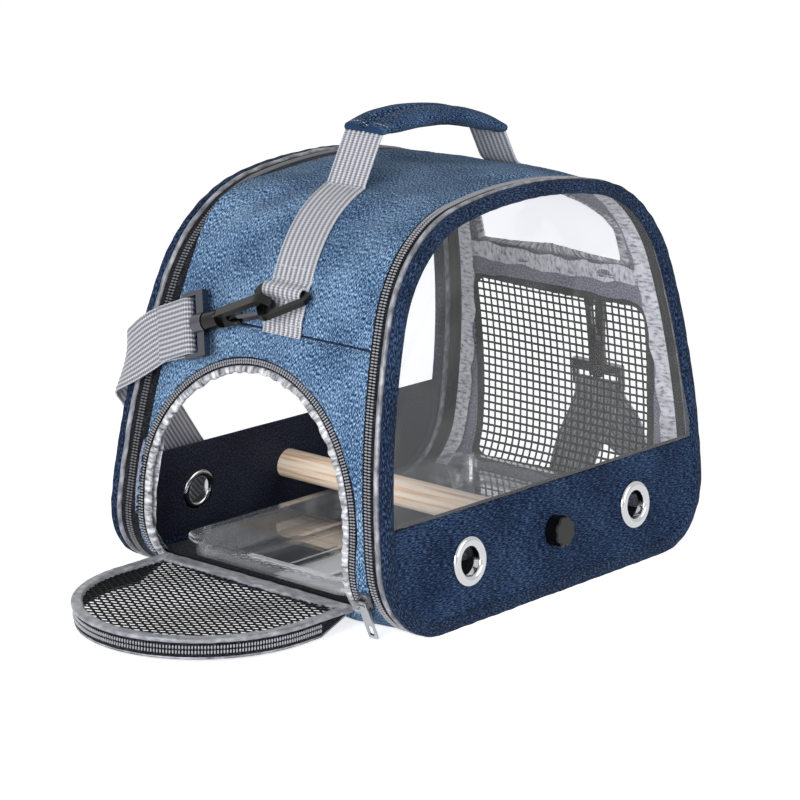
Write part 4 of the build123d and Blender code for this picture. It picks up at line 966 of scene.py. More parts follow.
def small_bars(name, places, along, up, size):
    """Bars with their length along one direction and their tops towards up. A ring of points is
    repeated at four places along the bar, narrower at its ends. size is length, width and height."""
    across = unit(np.cross(up, along))
    rings, sides = len(BAR_RINGS), BAR_SIDES
    run, swell = np.repeat(BAR_RINGS, sides, axis=0).T
    turned = np.tile(BAR_TURNS, rings)
    template = np.stack([run, swell * np.cos(turned), swell * np.sin(turned)], axis=-1)
    axes = np.stack([unit(along), across, unit(up)], axis=1)
    points = places[:, None] + np.einsum("kc,ncd->nkd", template * size / 2, axes)
    faces, _, _ = grid(rings, sides, wrap_cols=True)
    first = np.arange(len(places))[:, None, None] * rings * sides
    quads = (first + faces).reshape(-1, 4)[:, ::-1]
    ends = np.arange(sides)[::-1], np.arange(sides) + (rings - 1) * sides
    caps = np.concatenate([first[..., 0] + end for end in ends])
    flat = points.reshape(-1, 3)
    middle = flat[quads].mean(axis=1) - np.repeat(places, len(faces), axis=0)
    if np.einsum("ij,ij->", middle, face_normals(flat, quads)) < 0:
        quads, caps = quads[:, ::-1], caps[:, ::-1]
    uv = np.zeros((len(quads), 4, 2))
    return build(name, flat, quads, uv, caps.tolist())


TOOTH_PITCH, TOOTH_REACH = 1.9, 2.1
for side_name, side in SIDES.items():
    zip_mid = ZIP_FROM + FLAP_ZIP_W[side_name]
    tooth_s = np.arange(-S_FOOT + 3, S_FOOT - 3, TOOTH_PITCH)
    for row, body, depth in (
        ("flap", side_name + "_flap", zip_mid - 0.15 - TOOTH_REACH / 2),
        ("frame", "carrier", zip_mid + 0.45 + TOOTH_REACH / 2),
    ):
        places = along_edge(tooth_s, 0.1, depth, side)
        inwards = along_edge(tooth_s, 0.1, depth + 1.0, side) - places
        name, size = f"{side_name}_{row}_coil", (TOOTH_REACH, 1.15, 1.5)
        teeth = small_bars(name, places, inwards, outward(tooth_s), size)
        dress(teeth, coil_nylon if side_name == "front" else dark_coil, body, "zip_tape")
print("coil bars in each row:", len(tooth_s))

# %% [markdown]
# ## Lower bands and windows
#
# Below the window each face has a navy canvas band with a dark lining, pierced for two eyelets and
# for the stud that holds the perch. Above it a sheet of clear vinyl fills the arch. Vinyl takes a
# set from how it was rolled, so it keeps shallow dents that break up what it mirrors.

# %% Bands and linings
BAND_TOP, EYELET_X, EYELET_Z, HOLE_R = 71.0, 87.0, 39.0, 12.5
STUD_Z, STUD_R = 40.0, 2.6
# The bands start at their foot, and bands and windows reach this far in under the edge tape.
BAND_FOOT, UNDER_TAPE = 7.0, 7.5
band_s_low = float(s_at(BAND_TOP))


def band_sheet(name, side, depth, lift, top, seed):
    """A face's lower band. Rows go up, columns run between the arch's two sides, and faces inside
    the holes are left out."""
    way = np.linspace(0, 1, 44)
    climb = 1 - np.cos(way * np.pi / 2)
    z = BAND_FOOT + (top - BAND_FOOT) * (0.35 * climb + 0.65 * way)
    rim_x, rim_z, _, _ = arch(np.linspace(0, ARC_STARTS[4], 4000), UNDER_TAPE)
    half = np.interp(-z, -rim_z, rim_x)
    x, z = np.broadcast_arrays(np.linspace(-1, 1, 150) * half[:, None], z[:, None])
    off = np.hypot(np.abs(x) - EYELET_X, z - EYELET_Z)
    uneven = lift * waves(x, z, 30, 12, seed) * np.clip((off - 14) / 12, 0, 1)
    points = np.stack([x, side * face_y(z, depth - uneven), z], axis=-1)
    keep = (off > HOLE_R) & (np.hypot(x, z - STUD_Z) > STUD_R)
    facing = np.array([0.0, side, 0.1])
    return surface(name, points, pattern_of(x, z), facing, keep=keep)


for side_name, side in SIDES.items():
    flap = side_name + "_flap"
    band = band_sheet(side_name + "_band_cloth", side, 1.0, 0.7, BAND_TOP, 21)
    dress(thicken(band, 1.2), navy_cloth, flap, "navy_cloth", side_name + "_band")
    lining = band_sheet(side_name + "_band_inside", side, 3.2, 0.3, BAND_TOP + 1.5, 22)
    dress(thicken(lining, 1.2), dark_lining, flap, "black_lining", side_name + "_band_lining")
print("bands reach", BAND_TOP, "mm up")

# %% [markdown]
# Each hole is bound by an eyelet. Its front is a thin nickel-plated tube whose end was rolled over
# outwards, and a washer behind the band takes the other end, so its section is half an oval, a
# barrel and a smaller half oval. Carried once round the hole's axis, that section is the eyelet.

# %% Eyelets
roll_over = np.linspace(0, np.pi, 15)
eyelet_r = np.concatenate(
    [12.5 + 3.4 * np.cos(roll_over), 11.6 - 2.5 * np.cos(roll_over), [10.2, 10.2, 15.6]]
)
eyelet_h = np.concatenate(
    [-0.8 + 2.3 * np.sin(roll_over) ** 0.8, -4.3 - 1.3 * np.sin(roll_over), [-4.2, -1.0, -1.0]]
)
eyelet_turn = np.linspace(0, 2 * np.pi, 65)[:-1, None]
for side_name, side in SIDES.items():
    out_way = unit([0.0, side, LEAN])
    up_way = np.cross(out_way, [1.0, 0.0, 0.0])
    for end_name, x in (("left", -EYELET_X), ("right", EYELET_X)):
        middle = np.array([x, side * face_y(EYELET_Z), EYELET_Z])
        round_way = np.cos(eyelet_turn) * np.array([1.0, 0.0, 0.0]) + np.sin(eyelet_turn) * up_way
        points = middle + round_way[:, None] * eyelet_r[:, None] + out_way * eyelet_h[:, None]
        pattern = pattern_of(np.arange(len(eyelet_r) + 1)[None, :], np.arange(65)[:, None])
        eyelet = surface(f"{side_name}_eyelet_{end_name}", points, pattern, wrap=(True, True))
        dress(eyelet, nickel, side_name + "_flap", "nickel", side_name + "_eyelets")
print("eyelets are", 2 * float(eyelet_r.max()), "mm wide")

# %% Vinyl windows
window_s = np.linspace(-band_s_low, band_s_low, 130)
window_rows = np.linspace(0, 1, 70)[:, None]


def window_sheet(name, side, seed):
    """Vinyl from the band's top to the arch: each column runs from a point on the straight lower
    edge to a point on the arch's inner outline."""
    x_top, z_top, _, _ = arch(window_s, UNDER_TAPE)
    x_low = np.interp(np.linspace(-1, 1, 130), [-1, 1], [x_top[0], x_top[-1]])
    x = x_low + (x_top - x_low) * window_rows
    z = BAND_TOP + (z_top - BAND_TOP) * window_rows
    rim = np.clip(window_rows * (1 - window_rows) * 6, 0, 1)
    dent = 1.3 * waves(x, z, 62, 8, seed) + 0.35 * waves(x, z, 20, 10, seed + 1)
    fold = 0.9 * near(x - 0.5 * z + (60 if side < 0 else -80), 0, 5.0)
    points = np.stack([x, side * face_y(z, 2.2 - (dent + fold) * rim), z], axis=-1)
    return surface(name, points, pattern_of(x, z), np.array([0.0, side, 0.1]))


for side_name, side in SIDES.items():
    window = window_sheet(side_name + "_vinyl_window", side, 31 if side < 0 else 47)
    dress(window, clear_vinyl, side_name + "_flap", "clear_vinyl", side_name + "_window")
print("windows cut")

# %% [markdown]
# ## The door and its frame
#
# One end opens with a mesh door that folds down flat on the floor. Round its opening run a dark zip
# tape with coil and a silvery satin tape that was gathered as it was sewn, which leaves it crinkled
# with a ragged inner edge. The frame is a grid between an outer and an inner outline, laid on the
# arch. The gathers are waves along the tape.

# %% The door's frame
FRAME_W, FRAME_TOP_W, FRAME_SATIN_W = 11.4, 9.4, 3.4
IN_HALF, IN_RISE = FRAME_HALF - FRAME_W, FRAME_RISE - FRAME_TOP_W
DOOR_MIDDLE_Z, FRAME_FOOT_Z = 78.0, 3.0


def frame_grid(widths, count=900):
    """y and z on outlines between the frame's outer line (width 0) and its inner line (width 1).
    The points of both lines are matched by the share of the way round."""
    outer_y, outer_z = door_line(FRAME_HALF, FRAME_RISE, SILL_Z)
    inner_y, inner_z = door_line(IN_HALF, IN_RISE, SILL_Z)
    way = np.linspace(0, len(outer_y) - 1, count)
    index = np.arange(len(outer_y))
    lines = [np.interp(way, index, line) for line in (outer_y, outer_z, inner_y, inner_z)]
    widths = np.asarray(widths)
    y = lines[0][:, None] + (lines[2] - lines[0])[:, None] * widths
    z = lines[1][:, None] + (lines[3] - lines[1])[:, None] * widths
    return y, z, gone_along(y[:, 0], z[:, 0])


def end_points(y, z, lift):
    """Points on the left end at y and z, lifted off the arch."""
    return shell(-s_at(z), y, lift)


def crinkled(at, size, fine_size, seed):
    """Gathers along a tape: broad folds and, at about half their depth, finer ones."""
    return waves(at, 0 * at, size, 14, seed) + 0.6 * waves(at, 0 * at, fine_size, 9, seed + 1)


def frame_band(name, width_low, width_high, low, high, ragged=0.0, seed=2):
    """A closed band round the door: a flat oval section between two widths and two lifts."""
    turn_round = np.linspace(0, 2 * np.pi, 17)[:-1]
    middle, half = (width_low + width_high) / 2, (width_high - width_low) / 2
    widths = middle + half * np.sign(np.cos(turn_round)) * np.abs(np.cos(turn_round)) ** 0.6
    y, z, length = frame_grid(widths)
    crinkle = crinkled(length, 5.0, 2.4, seed)
    ripple = waves(length[:, None], np.cos(turn_round) * 4, 4.0, 14, seed + 2)
    inward = unit(np.array([0.0, DOOR_MIDDLE_Z]) - np.stack([y, z], axis=-1))
    push = ragged * crinkle[:, None] * (np.cos(turn_round) > 0.3)
    y, z = y + inward[..., 0] * push, z + inward[..., 1] * push
    lift = (low + high) / 2 + (high - low) / 2 * np.sin(turn_round) + 0.4 * ragged * ripple
    points = end_points(y, np.maximum(z, FRAME_FOOT_Z), lift)
    round_it = np.linspace(0, 4 * half * FRAME_W, 17)[None, :]
    return tube(name, points, pattern_of(round_it, length[:, None]))


tape_end = 1 - FRAME_SATIN_W / FRAME_W
frame_tape = frame_band("door_frame_tape", -0.02, tape_end + 0.12, -2.6, 0.5)
dress(frame_tape, zip_cloth, "carrier", "zip_tape", "door_frame_zip")
frame_satin = frame_band("door_frame_satin", tape_end - 0.16, 1.0, -2.4, 1.6, 0.9, 8)
dress(frame_satin, crinkled_satin, "carrier", "grey_binding", "door_frame_binding")

y, z, length = frame_grid([0.18, 0.36, 0.5])
tooth_at = np.arange(2, length[-1] - 2, TOOTH_PITCH)
for row, column in (("outer", 0), ("inner", 1)):
    tooth_y = np.interp(tooth_at, length, y[:, column])
    tooth_z = np.interp(tooth_at, length, z[:, column])
    next_y = np.interp(tooth_at, length, y[:, column + 1])
    next_z = np.interp(tooth_at, length, z[:, column + 1])
    places = end_points(tooth_y, tooth_z, 0.7)
    ways = end_points(next_y, next_z, 0.7) - places
    tops = outward(-s_at(tooth_z))
    teeth = small_bars(f"door_frame_coil_{row}", places, ways, tops, (1.7, 1.15, 1.3))
    dress(teeth, coil_nylon, "carrier", "zip_tape")
print("door frame sewn, with", len(tooth_at), "coil bars in a row")

# %% [markdown]
# ## The open door
#
# The door lies flat, hinged at its straight edge. It has black mesh with lozenge holes, a satin tape
# round it, and a short wall with the zip's other half, which stands down from its curved edge and
# holds it off the floor.

# %% The door's outline and tapes
HINGE_X, HINGE_Z, DOOR_GAP = -151.0, 15.2, 0.7
DOOR_HALF, DOOR_RISE = IN_HALF - DOOR_GAP, IN_RISE - DOOR_GAP
DOOR_BASE_X, DOOR_SPRING_X = HINGE_X - 0.3, HINGE_X - (DOOR_SPRING_Z - HINGE_Z)
DOOR_MIDDLE_X, WALL_TOP, WALL_DROP = -190.0, 14.2, 11.0


def door_edge(inset, count=600):
    """The door's curved outline moved in, as x and y from its front hinge corner to its back one."""
    y, z = door_line(DOOR_HALF - inset, DOOR_RISE - inset, 0.0, -DOOR_SPRING_X + DOOR_BASE_X)
    steps = gone_along(y, z)
    at = np.linspace(0, steps[-1], count)
    return DOOR_BASE_X - np.interp(at, steps, z), np.interp(at, steps, y), at


def door_fade(x):
    """Share of the wall's height at x: it runs out to nothing beside the hinge."""
    return np.clip((DOOR_BASE_X - 3 - x) / 26.0, 0, 1)


def door_trim(name, section, ragged, seed=3, rise_to=None):
    """A section carried round the door's edge: its first number is the distance in from the edge
    and its second the height over the floor. Near the hinge it rises to the height rise_to."""
    x0, y0, at = door_edge(0.0)
    x9, y9, _ = door_edge(9.0)
    inward = unit(np.stack([x9 - x0, y9 - y0], axis=-1))
    crinkle = crinkled(at, 6.0, 2.6, seed)
    edge = section[:, 0] > section[:, 0].mean()
    inset = section[:, 0] + ragged * crinkle[:, None] * edge
    height = section[:, 1] + 0.45 * ragged * waves(at[:, None], section[:, 0] * 2, 4.5, 12, seed + 2)
    if rise_to is not None:
        height = height + (rise_to - section[:, 1].mean()) * (1 - door_fade(x0))[:, None]
    x = x0[:, None] + inward[:, :1] * inset
    y = y0[:, None] + inward[:, 1:] * inset
    points = np.stack(np.broadcast_arrays(x, y, height), axis=-1)
    return tube(name, points, pattern_of(girth(section)[None, :], at[:, None]))


door_satin = door_trim("door_satin_tape", round_bar(-0.5, 7.0, 13.6, 16.8, 1.5, 6), 0.3)
dress(door_satin, smooth_satin, "door", "grey_binding", "door_binding")
foot_satin = door_trim("door_foot_cord", round_bar(1.4, 3.8, 3.0, 4.9, 0.9), 0.1, 5, 13.6)
dress(foot_satin, piping_satin, "door", "grey_piping")
hinge_y = np.linspace(-DOOR_HALF, DOOR_HALF, 260)
hinge_section = round_bar(-9.5, 2.0, -1.6, 0.9, 1.2, 6)
hinge_wave = 0.6 * waves(hinge_y, 0 * hinge_y, 8.0, 14, 12)[:, None]
hinge_points = np.stack(
    np.broadcast_arrays(
        HINGE_X + hinge_section[:, 0] + hinge_wave * (hinge_section[:, 0] < -4),
        hinge_y[:, None],
        HINGE_Z + hinge_section[:, 1] + 0.5 * hinge_wave,
    ),
    axis=-1,
)
hinge_pattern = pattern_of(girth(hinge_section)[None, :], hinge_y[:, None])
hinge_satin = tube("door_hinge_tape", hinge_points, hinge_pattern)
dress(hinge_satin, smooth_satin, "door", "grey_binding")
door_x, door_y, door_at = door_edge(1.6)
wall_fade = door_fade(door_x)
wall_rows = np.linspace(0, 1, 8)[:, None]
wall_z = WALL_TOP - WALL_DROP * wall_fade * wall_rows
wall_points = np.stack(np.broadcast_arrays(door_x, door_y, wall_z), axis=-1)
from_middle = np.stack([door_x - DOOR_MIDDLE_X, door_y, 0 * door_x], axis=-1)
wall_out = from_middle[None].repeat(8, 0).reshape(-1, 3)
door_wall = surface("door_wall", wall_points, pattern_of(door_at, WALL_DROP * wall_rows), wall_out)
dress(thicken(door_wall, 1.4), zip_cloth, "door", "zip_tape", "door_rim", "door_coil")
print("door is", round(float(DOOR_BASE_X - door_x.min())), "mm long")

# %% The coil on the door's wall
tooth_at = np.arange(30, door_at[-1] - 30, TOOTH_PITCH)
tooth_x, tooth_y = np.interp(tooth_at, door_at, door_x), np.interp(tooth_at, door_at, door_y)
next_x = np.interp(tooth_at + 1, door_at, door_x)
next_y = np.interp(tooth_at + 1, door_at, door_y)
out_of_door = unit(np.stack([next_y - tooth_y, tooth_x - next_x, 0 * tooth_x], axis=-1))
from_middle = np.stack([tooth_x - DOOR_MIDDLE_X, tooth_y, 0 * tooth_x], axis=-1)
out_of_door *= np.sign(np.einsum("ij,ij->", out_of_door, from_middle))
tooth_fade = np.interp(tooth_at, door_at, wall_fade)
upright = np.tile([0.0, 0.0, 1.0], (len(tooth_at), 1))
for row, drop in (("high", 3.4), ("low", 6.4)):
    tooth_z = WALL_TOP - drop * tooth_fade
    places = np.stack([tooth_x, tooth_y, tooth_z], axis=-1) + 0.4 * out_of_door
    teeth = small_bars(f"door_wall_coil_{row}", places, upright, out_of_door, (2.2, 1.1, 1.3))
    dress(teeth, coil_nylon, "door", "zip_tape")
print("coil bars on the door:", 2 * len(places))

# %% [markdown]
# ## Mesh
#
# The mesh in the door has lozenge holes about 4 mm long, and the one in the far end is a square net
# at under 6 mm. A see-through material would do from far away, but real threads catch the light.
# Each thread is a thin four-sided tube along a line on the piece.

# %% Threads along lines
def threads(name, lines, up, width, height):
    """Four-sided tubes along lines (lines, points, 3): at each point, corners stand off up and down
    by half the height, and to both sides by half the width."""
    ahead = np.gradient(lines, axis=1)
    across = unit(np.cross(ahead, np.broadcast_to(up, lines.shape)))
    rise_by = np.broadcast_to(up, lines.shape) * height / 2
    side_by = across * width / 2
    corners = np.stack([lines + side_by, lines + rise_by, lines - side_by, lines - rise_by], axis=2)
    count, points = lines.shape[:2]
    faces, corner_i, corner_j = grid(points, 4, wrap_cols=True)
    first = np.arange(count)[:, None, None] * points * 4
    quads = (first + faces).reshape(-1, 4)
    flat = corners.reshape(-1, 3)
    run = np.cumsum(np.linalg.norm(ahead, axis=-1), axis=1)
    uv_across = np.broadcast_to(corner_j, (count, *corner_j.shape)) * width
    uv_along = run[:, corner_i.clip(max=points - 1)]
    uv = np.stack([uv_across, uv_along], axis=-1).reshape(-1, 4, 2)
    starts = first[:, 0] + np.arange(4)
    caps = np.concatenate([starts, starts[:, ::-1] + (points - 1) * 4]).tolist()
    middle = flat[quads].mean(axis=1) - np.repeat(lines[:, :-1].reshape(-1, 3), 4, axis=0)
    if np.einsum("ij,ij->", middle, face_normals(flat, quads)) < 0:
        quads, uv = quads[:, ::-1], uv[:, ::-1]
        caps = [cap[::-1] for cap in caps]
    return build(name, flat, quads, uv, caps)


def chords(inside, way, pitch, reach, count):
    """Straight lines across a convex shape: parallel lines a pitch apart, each cut to where the
    shape's test holds."""
    way = unit(way)
    square = np.array([-way[1], way[0]])
    offs = np.arange(-reach, reach, pitch)
    along = np.linspace(-reach, reach, 1200)
    spots = offs[:, None, None] * square + along[:, None] * way
    held = inside(spots)
    rows = held.sum(axis=1) > 8
    low = along[held[rows].argmax(axis=1)]
    high = along[len(along) - 1 - held[rows][:, ::-1].argmax(axis=1)]
    share = np.linspace(0, 1, count)
    along_line = low[:, None] + (high - low)[:, None] * share
    return offs[rows][:, None, None] * square + along_line[..., None] * way


# The door's net starts in from the door's edge. Its threads lean by 60 degrees, and the pitch
# between them is the side of a lozenge times the sine of that.
DOOR_NET_IN, NET_LEAN, LOZENGE = 6.0, 1.05, 5.2


def in_door(spots):
    """True inside the door's mesh: within the half ellipse or the straight part below it."""
    x, y = spots[..., 0] + DOOR_SPRING_X, spots[..., 1]
    beyond = np.minimum(x - DOOR_SPRING_X, 0)
    oval = (beyond / (DOOR_RISE - DOOR_NET_IN)) ** 2 + (y / (DOOR_HALF - DOOR_NET_IN)) ** 2 < 1
    return oval & (x < DOOR_BASE_X - DOOR_NET_IN)


for number, lean in enumerate((-1, 1)):
    way = (np.cos(NET_LEAN), lean * np.sin(NET_LEAN))
    flat_lines = chords(in_door, way, LOZENGE * 0.87, 170, 40)
    x, y = flat_lines[..., 0] + DOOR_SPRING_X, flat_lines[..., 1]
    sag = 0.7 * waves(x, y, 45, 8, 51) - 1.2
    lines = np.stack([x, y, HINGE_Z + sag + 0.3 * number], axis=-1)
    net = threads(f"door_net_{number}", lines, (0.0, 0.0, 1.0), 1.7, 1.0)
    dress(net, dark_thread, "door", "dark_mesh", *(["door_mesh"] if number == 0 else []))
    print("door threads one way:", len(lines))

# %% The net in the far end
NET = 5.6
net_half, net_low, net_high = 73.5, 22.5, 155.5
NET_THREAD = (1.7, 0.9)
rows_z = np.arange(net_low, net_high, NET)
columns_y = np.arange(-net_half, net_half + 1, NET)
run_y, run_z = np.linspace(-net_half, net_half, 60), np.linspace(net_low, net_high, 60)
level_y, level_z = np.broadcast_arrays(run_y[None, :], rows_z[:, None])
level_lines = shell(s_at(level_z), level_y, -1.2 + 0.8 * waves(level_y, level_z, 50, 8, 61))
upright_y, upright_z = np.broadcast_arrays(columns_y[:, None], run_z[None, :])
upright_lines = shell(s_at(upright_z), upright_y, -0.9 + 0.8 * waves(upright_y, upright_z, 50, 8, 61))
for number, (lines, line_z) in enumerate(((level_lines, level_z), (upright_lines, upright_z))):
    net = threads(f"end_net_{number}", lines, outward(s_at(line_z)), *NET_THREAD)
    dress(net, dark_thread, "carrier", "dark_mesh", *(["right_mesh"] if number == 0 else []))


def opening_tape(name, side, line, width, low, high, swell, seed, middle_z):
    """A tape round an opening: a flat oval section carried round its outline, from just outside it
    to a width further in, towards the opening's middle."""
    y, z = closed_line(line)
    steps = gone_along(y, z)
    at = np.linspace(0, steps[-1], 700, endpoint=False)
    y, z = np.interp(at, steps, y), np.interp(at, steps, z)
    turn_round = np.linspace(0, 2 * np.pi, 13)[:-1]
    inward = unit(np.stack([0 - y, middle_z - z], axis=-1))
    share = (1 - np.cos(turn_round)) / 2 * (width + 1.5) - 1.5
    share = share + swell * waves(at, 0 * at, 5.0, 12, seed)[:, None] * (share > 1)
    y = y[:, None] + inward[:, :1] * share
    z = z[:, None] + inward[:, 1:] * share
    lift = (low + high) / 2 + (high - low) / 2 * np.sin(turn_round)
    lift = lift + 0.2 * swell * waves(at, 0 * at, 7, 9, seed + 1)[:, None]
    pattern = pattern_of(np.linspace(0, 2 * width, 13)[None, :], np.append(at, steps[-1])[:, None])
    return surface(name, shell(side * s_at(z), y, lift), pattern, wrap=(True, True))


net_tape = opening_tape("end_net_tape", 1, mesh_hole, 5.0, -3.0, 0.8, 0.3, 71, NET_RAYS_Z)
dress(net_tape, zip_cloth, "carrier", "grey_binding", "right_mesh_binding")
print("end net:", len(rows_z), "by", len(columns_y), "threads")

# %% [markdown]
# ## Side seams
#
# Each end meets the roof at a level seam, where both pieces of canvas are pulled in. A thin dark
# strip in the bias tape's finish lies in the groove as painted shade, so the seam shows as a dark
# line. It follows the cloth's own lift, so it lies in the groove all along.

# %% Shade strips in the seams
seam_share = np.linspace(-0.995, 0.995, 400)
seam_y = edge_y(SEAM_Z, seam_share)
for end_name, side in (("left", -1), ("right", 1)):
    seam_at = np.full(400, side * SEAM_S)
    line = shell(seam_at, seam_y, cloth_lift(seam_share, seam_at, seam_y) + 0.15)
    # A dark strip in the groove: painted shade along the seam.
    shade_strip = threads(end_name + "_seam_shade_strip", line[None], outward(side * SEAM_S), 1.9, 1.1)
    dress(shade_strip, navy_tape, "carrier", "navy_binding")
print("side seams", round(float(np.ptp(seam_y))), "mm long")

# %% [markdown]
# ## The skylight
#
# A cloudy vinyl pane is let into the roof above the net, under a narrow satin tape.

# %% Skylight
sky_tape = opening_tape("skylight_tape", 1, sky_hole, 6.0, -2.6, 1.0, 0.5, 81, SKY_MIDDLE_Z)
dress(sky_tape, crinkled_satin, "carrier", "grey_binding", "skylight_binding")
sky_y, sky_z = closed_line(door_line(SKY_HALF - 4, SKY_RISE - 4, SKY_LOW + 4, SKY_SPRING))
fan = np.linspace(1, 0.02, 24)[:, None]
pane_y, pane_z = sky_y * fan, SKY_MIDDLE_Z + (sky_z - SKY_MIDDLE_Z) * fan
pane_lift = -1.6 + 1.2 * waves(pane_y, pane_z, 34, 9, 83) * (1 - fan**6)
pane_points = shell(s_at(pane_z), pane_y, pane_lift)
pane_out = outward(s_at(pane_z)).reshape(-1, 3)
pane = surface("skylight_pane", pane_points, pattern_of(pane_y, pane_z), pane_out)
dress(pane, sky_vinyl, "carrier", "clear_vinyl", "skylight_window")
print("skylight set in")

# %% [markdown]
# ## Seam tapes inside
#
# Inside, every raw edge is covered by a strip of the same silvery satin, painted lighter to stand in
# for the light that its shaded place lacks. It was gathered as it was sewn, so it ruffles, and it
# shows through the windows. Strips run along both zips and across the right end over the net.

# %% Seam tapes
TAPE_IN_W = 12.0
tape_share = np.linspace(0, 1, 12)
tape_s = np.linspace(-S_FOOT, S_FOOT, 900)
for side_name, side, depth in (("front", -1, FRONT_DEPTH), ("back", 1, BACK_DEPTH)):
    ruffle = waves(tape_s[:, None], 4 * tape_share, 7.0, 16, 101)
    wavy = 1.6 * waves(tape_s, 0 * tape_s, 12.0, 12, 102)[:, None]
    reach = depth - 3 + tape_share * (TAPE_IN_W + wavy)
    inset = 5.2 + 1.6 * ruffle * np.sin(np.pi * tape_share) + 1.2 * tape_share
    points = along_edge(tape_s[:, None], inset, reach, side)
    seam_tape = surface(
        side_name + "_seam_tape",
        points,
        pattern_of(reach, tape_s[:, None]),
        -outward(tape_s)[:, None].repeat(12, 1).reshape(-1, 3),
    )
    dress(seam_tape, lightened_seam_satin, "carrier", "grey_binding")
cross_y = np.linspace(-80, 78, 300)[None, :]
cross_s = SEAM_S - 8.0 + 13.0 * tape_share[:, None]
ruffle = waves(cross_y, cross_s * 0.6, 7.0, 16, 104)
wavy = 1.5 * waves(cross_y, 0 * cross_y, 14.0, 10, 105)
cross_points = shell(cross_s + wavy, cross_y, -5.2 - 1.5 * ruffle)
cross_tape = surface(
    "right_end_seam_tape",
    cross_points,
    pattern_of(cross_s, cross_y),
    -outward(cross_s + 0 * cross_y).reshape(-1, 3),
)
dress(cross_tape, lightened_seam_satin, "carrier", "grey_binding")
print("seam tapes sewn in")

# %% [markdown]
# ## Webbing
#
# Webbing is a thick woven tape. It can be bent about its width but hardly within it, so each run is
# one closed section carried along a path, with the width's direction given at each point. Ribs along
# it are real: the section's top and bottom are wavy. Paths are rounded by averaging each point with
# its neighbours, as stiff tape rounds its own corners.

# %% Tape along a path
def resampled(points, step, *along_with):
    """Points about a step apart on a broken line, and other arrays read at the same places."""
    parts = [np.asarray(part, float) for part in (points, *along_with)]
    gone = gone_along(*parts[0].T)
    at = np.linspace(0, gone[-1], max(int(gone[-1] / step), 2) + 1)
    return [
        np.stack([np.interp(at, gone, part[:, k]) for k in range(3)], axis=-1) for part in parts
    ]


def rounded(points, reach):
    """Each point averaged with its neighbours, weighted by a bell as wide as reach points. The ends
    stay, because the line is first carried on past them by its own mirror image."""
    ahead = 2 * points[0] - points[reach:0:-1]
    behind = 2 * points[-1] - points[-2 : -reach - 2 : -1]
    longer = np.concatenate([ahead, points, behind])
    bell = np.exp(-((np.arange(-reach, reach + 1) / (reach / 2)) ** 2))
    bell /= bell.sum()
    return np.stack([np.convolve(longer[:, k], bell, mode="valid") for k in range(3)], axis=-1)


RIB_RELIEF, SWAY = 0.16, 0.25


def ribbed_section(width, thickness, ribs):
    """A tape's section: out along the top and back along the bottom, both with cosine ribs."""
    u = np.linspace(-1, 1, 8 * ribs + 1)
    bulge = thickness / 2 * (1 - 0.35 * np.abs(u) ** 14)
    bulge = bulge + RIB_RELIEF * np.cos(np.pi * ribs * (u + 1))
    u = u * width / 2
    return np.stack([np.concatenate([u, u[::-1]]), np.concatenate([bulge, -bulge[::-1]])], axis=-1)


def tape(name, path, across, width, thickness, ribs=8, uneven=SWAY):
    """A closed tape: the section's first number goes along across, one direction or one for each
    point, and its second along the path's own up, which is square to both."""
    ahead = unit(np.gradient(path, axis=0))
    across = np.broadcast_to(across, path.shape)
    across = unit(across - ahead * np.einsum("ij,ij->i", across, ahead)[:, None])
    up = np.cross(across, ahead)
    section = ribbed_section(width, thickness, ribs)
    gone = gone_along(*path.T)
    sway = uneven * waves(gone, 0 * gone, 26, 8, 90)[:, None, None]
    sideways = across[:, None] * (section[:, :1] + sway)
    points = path[:, None] + sideways + up[:, None] * section[:, 1:]
    pattern_u = np.append(section[:, 0], section[0, 0])
    return tube(name, points, pattern_of(pattern_u[None, :], gone[:, None]))

# %% [markdown]
# Where webbing is sewn down, a row of pale stitches shows. Each stitch is one small bar along the
# middle of a step of the line, standing a little out of the cloth.

# %% Stitches along lines
STITCH_PITCH, STITCH_W, STITCH_T = 2.4, 0.75, 0.6


def stitched(name, lines, body, slot):
    """Stitches along lines. Each line is its points and, at each, the way out of the cloth."""
    places, ways, tops = [], [], []
    for points, out_way in lines:
        spots, outs = resampled(points, STITCH_PITCH, np.broadcast_to(out_way, np.shape(points)))
        places.append((spots[1:] + spots[:-1]) / 2)
        ways.append(spots[1:] - spots[:-1])
        tops.append(outs[1:])
    places, ways, tops = (np.concatenate(part) for part in (places, ways, tops))
    made = small_bars(name, places, ways, tops, (STITCH_PITCH * 0.68, STITCH_W, STITCH_T))
    return dress(made, stitch_thread, body, slot)

# %% [markdown]
# The handle is one run of webbing, from the roof up into the grip and down again on the right.

# %% Handle
WEB_W, WEB_T, HANDLE_LEFT_X, HANDLE_RIGHT_X, HANDLE_FOOT = 30.0, 1.8, -74.0, 84.0, 16.0
DEPTHWISE = (0.0, 1.0, 0.0)
GRIP_ENDS = np.array([[-57.0, 290.0], [8.0, 293.0], [65.0, 279.5]])


def s_at_x(x):
    """Distance from the crown to an x on the roof, read back from a table of the arch."""
    s = np.linspace(-260, 260, 4001)
    return np.interp(x, arch(s)[0], s)


def roof_spot(x, lift):
    """A point at x in the middle of the roof's depth, lifted off the arch."""
    return shell(s_at_x(x), 0.0, lift)


def circle_through(spots):
    """Centre and radius of the circle through three points: the centre is as far from the first as
    from each other one, which gives two linear equations."""
    rows = 2 * (spots[1:] - spots[0])
    centre = np.linalg.solve(rows, (spots[1:] ** 2).sum(axis=1) - (spots[0] ** 2).sum())
    return centre, float(np.linalg.norm(spots[0] - centre))


grip_centre, grip_radius = circle_through(GRIP_ENDS)
grip_from, grip_to = (np.arctan2(*(end - grip_centre)) for end in (GRIP_ENDS[0], GRIP_ENDS[2]))


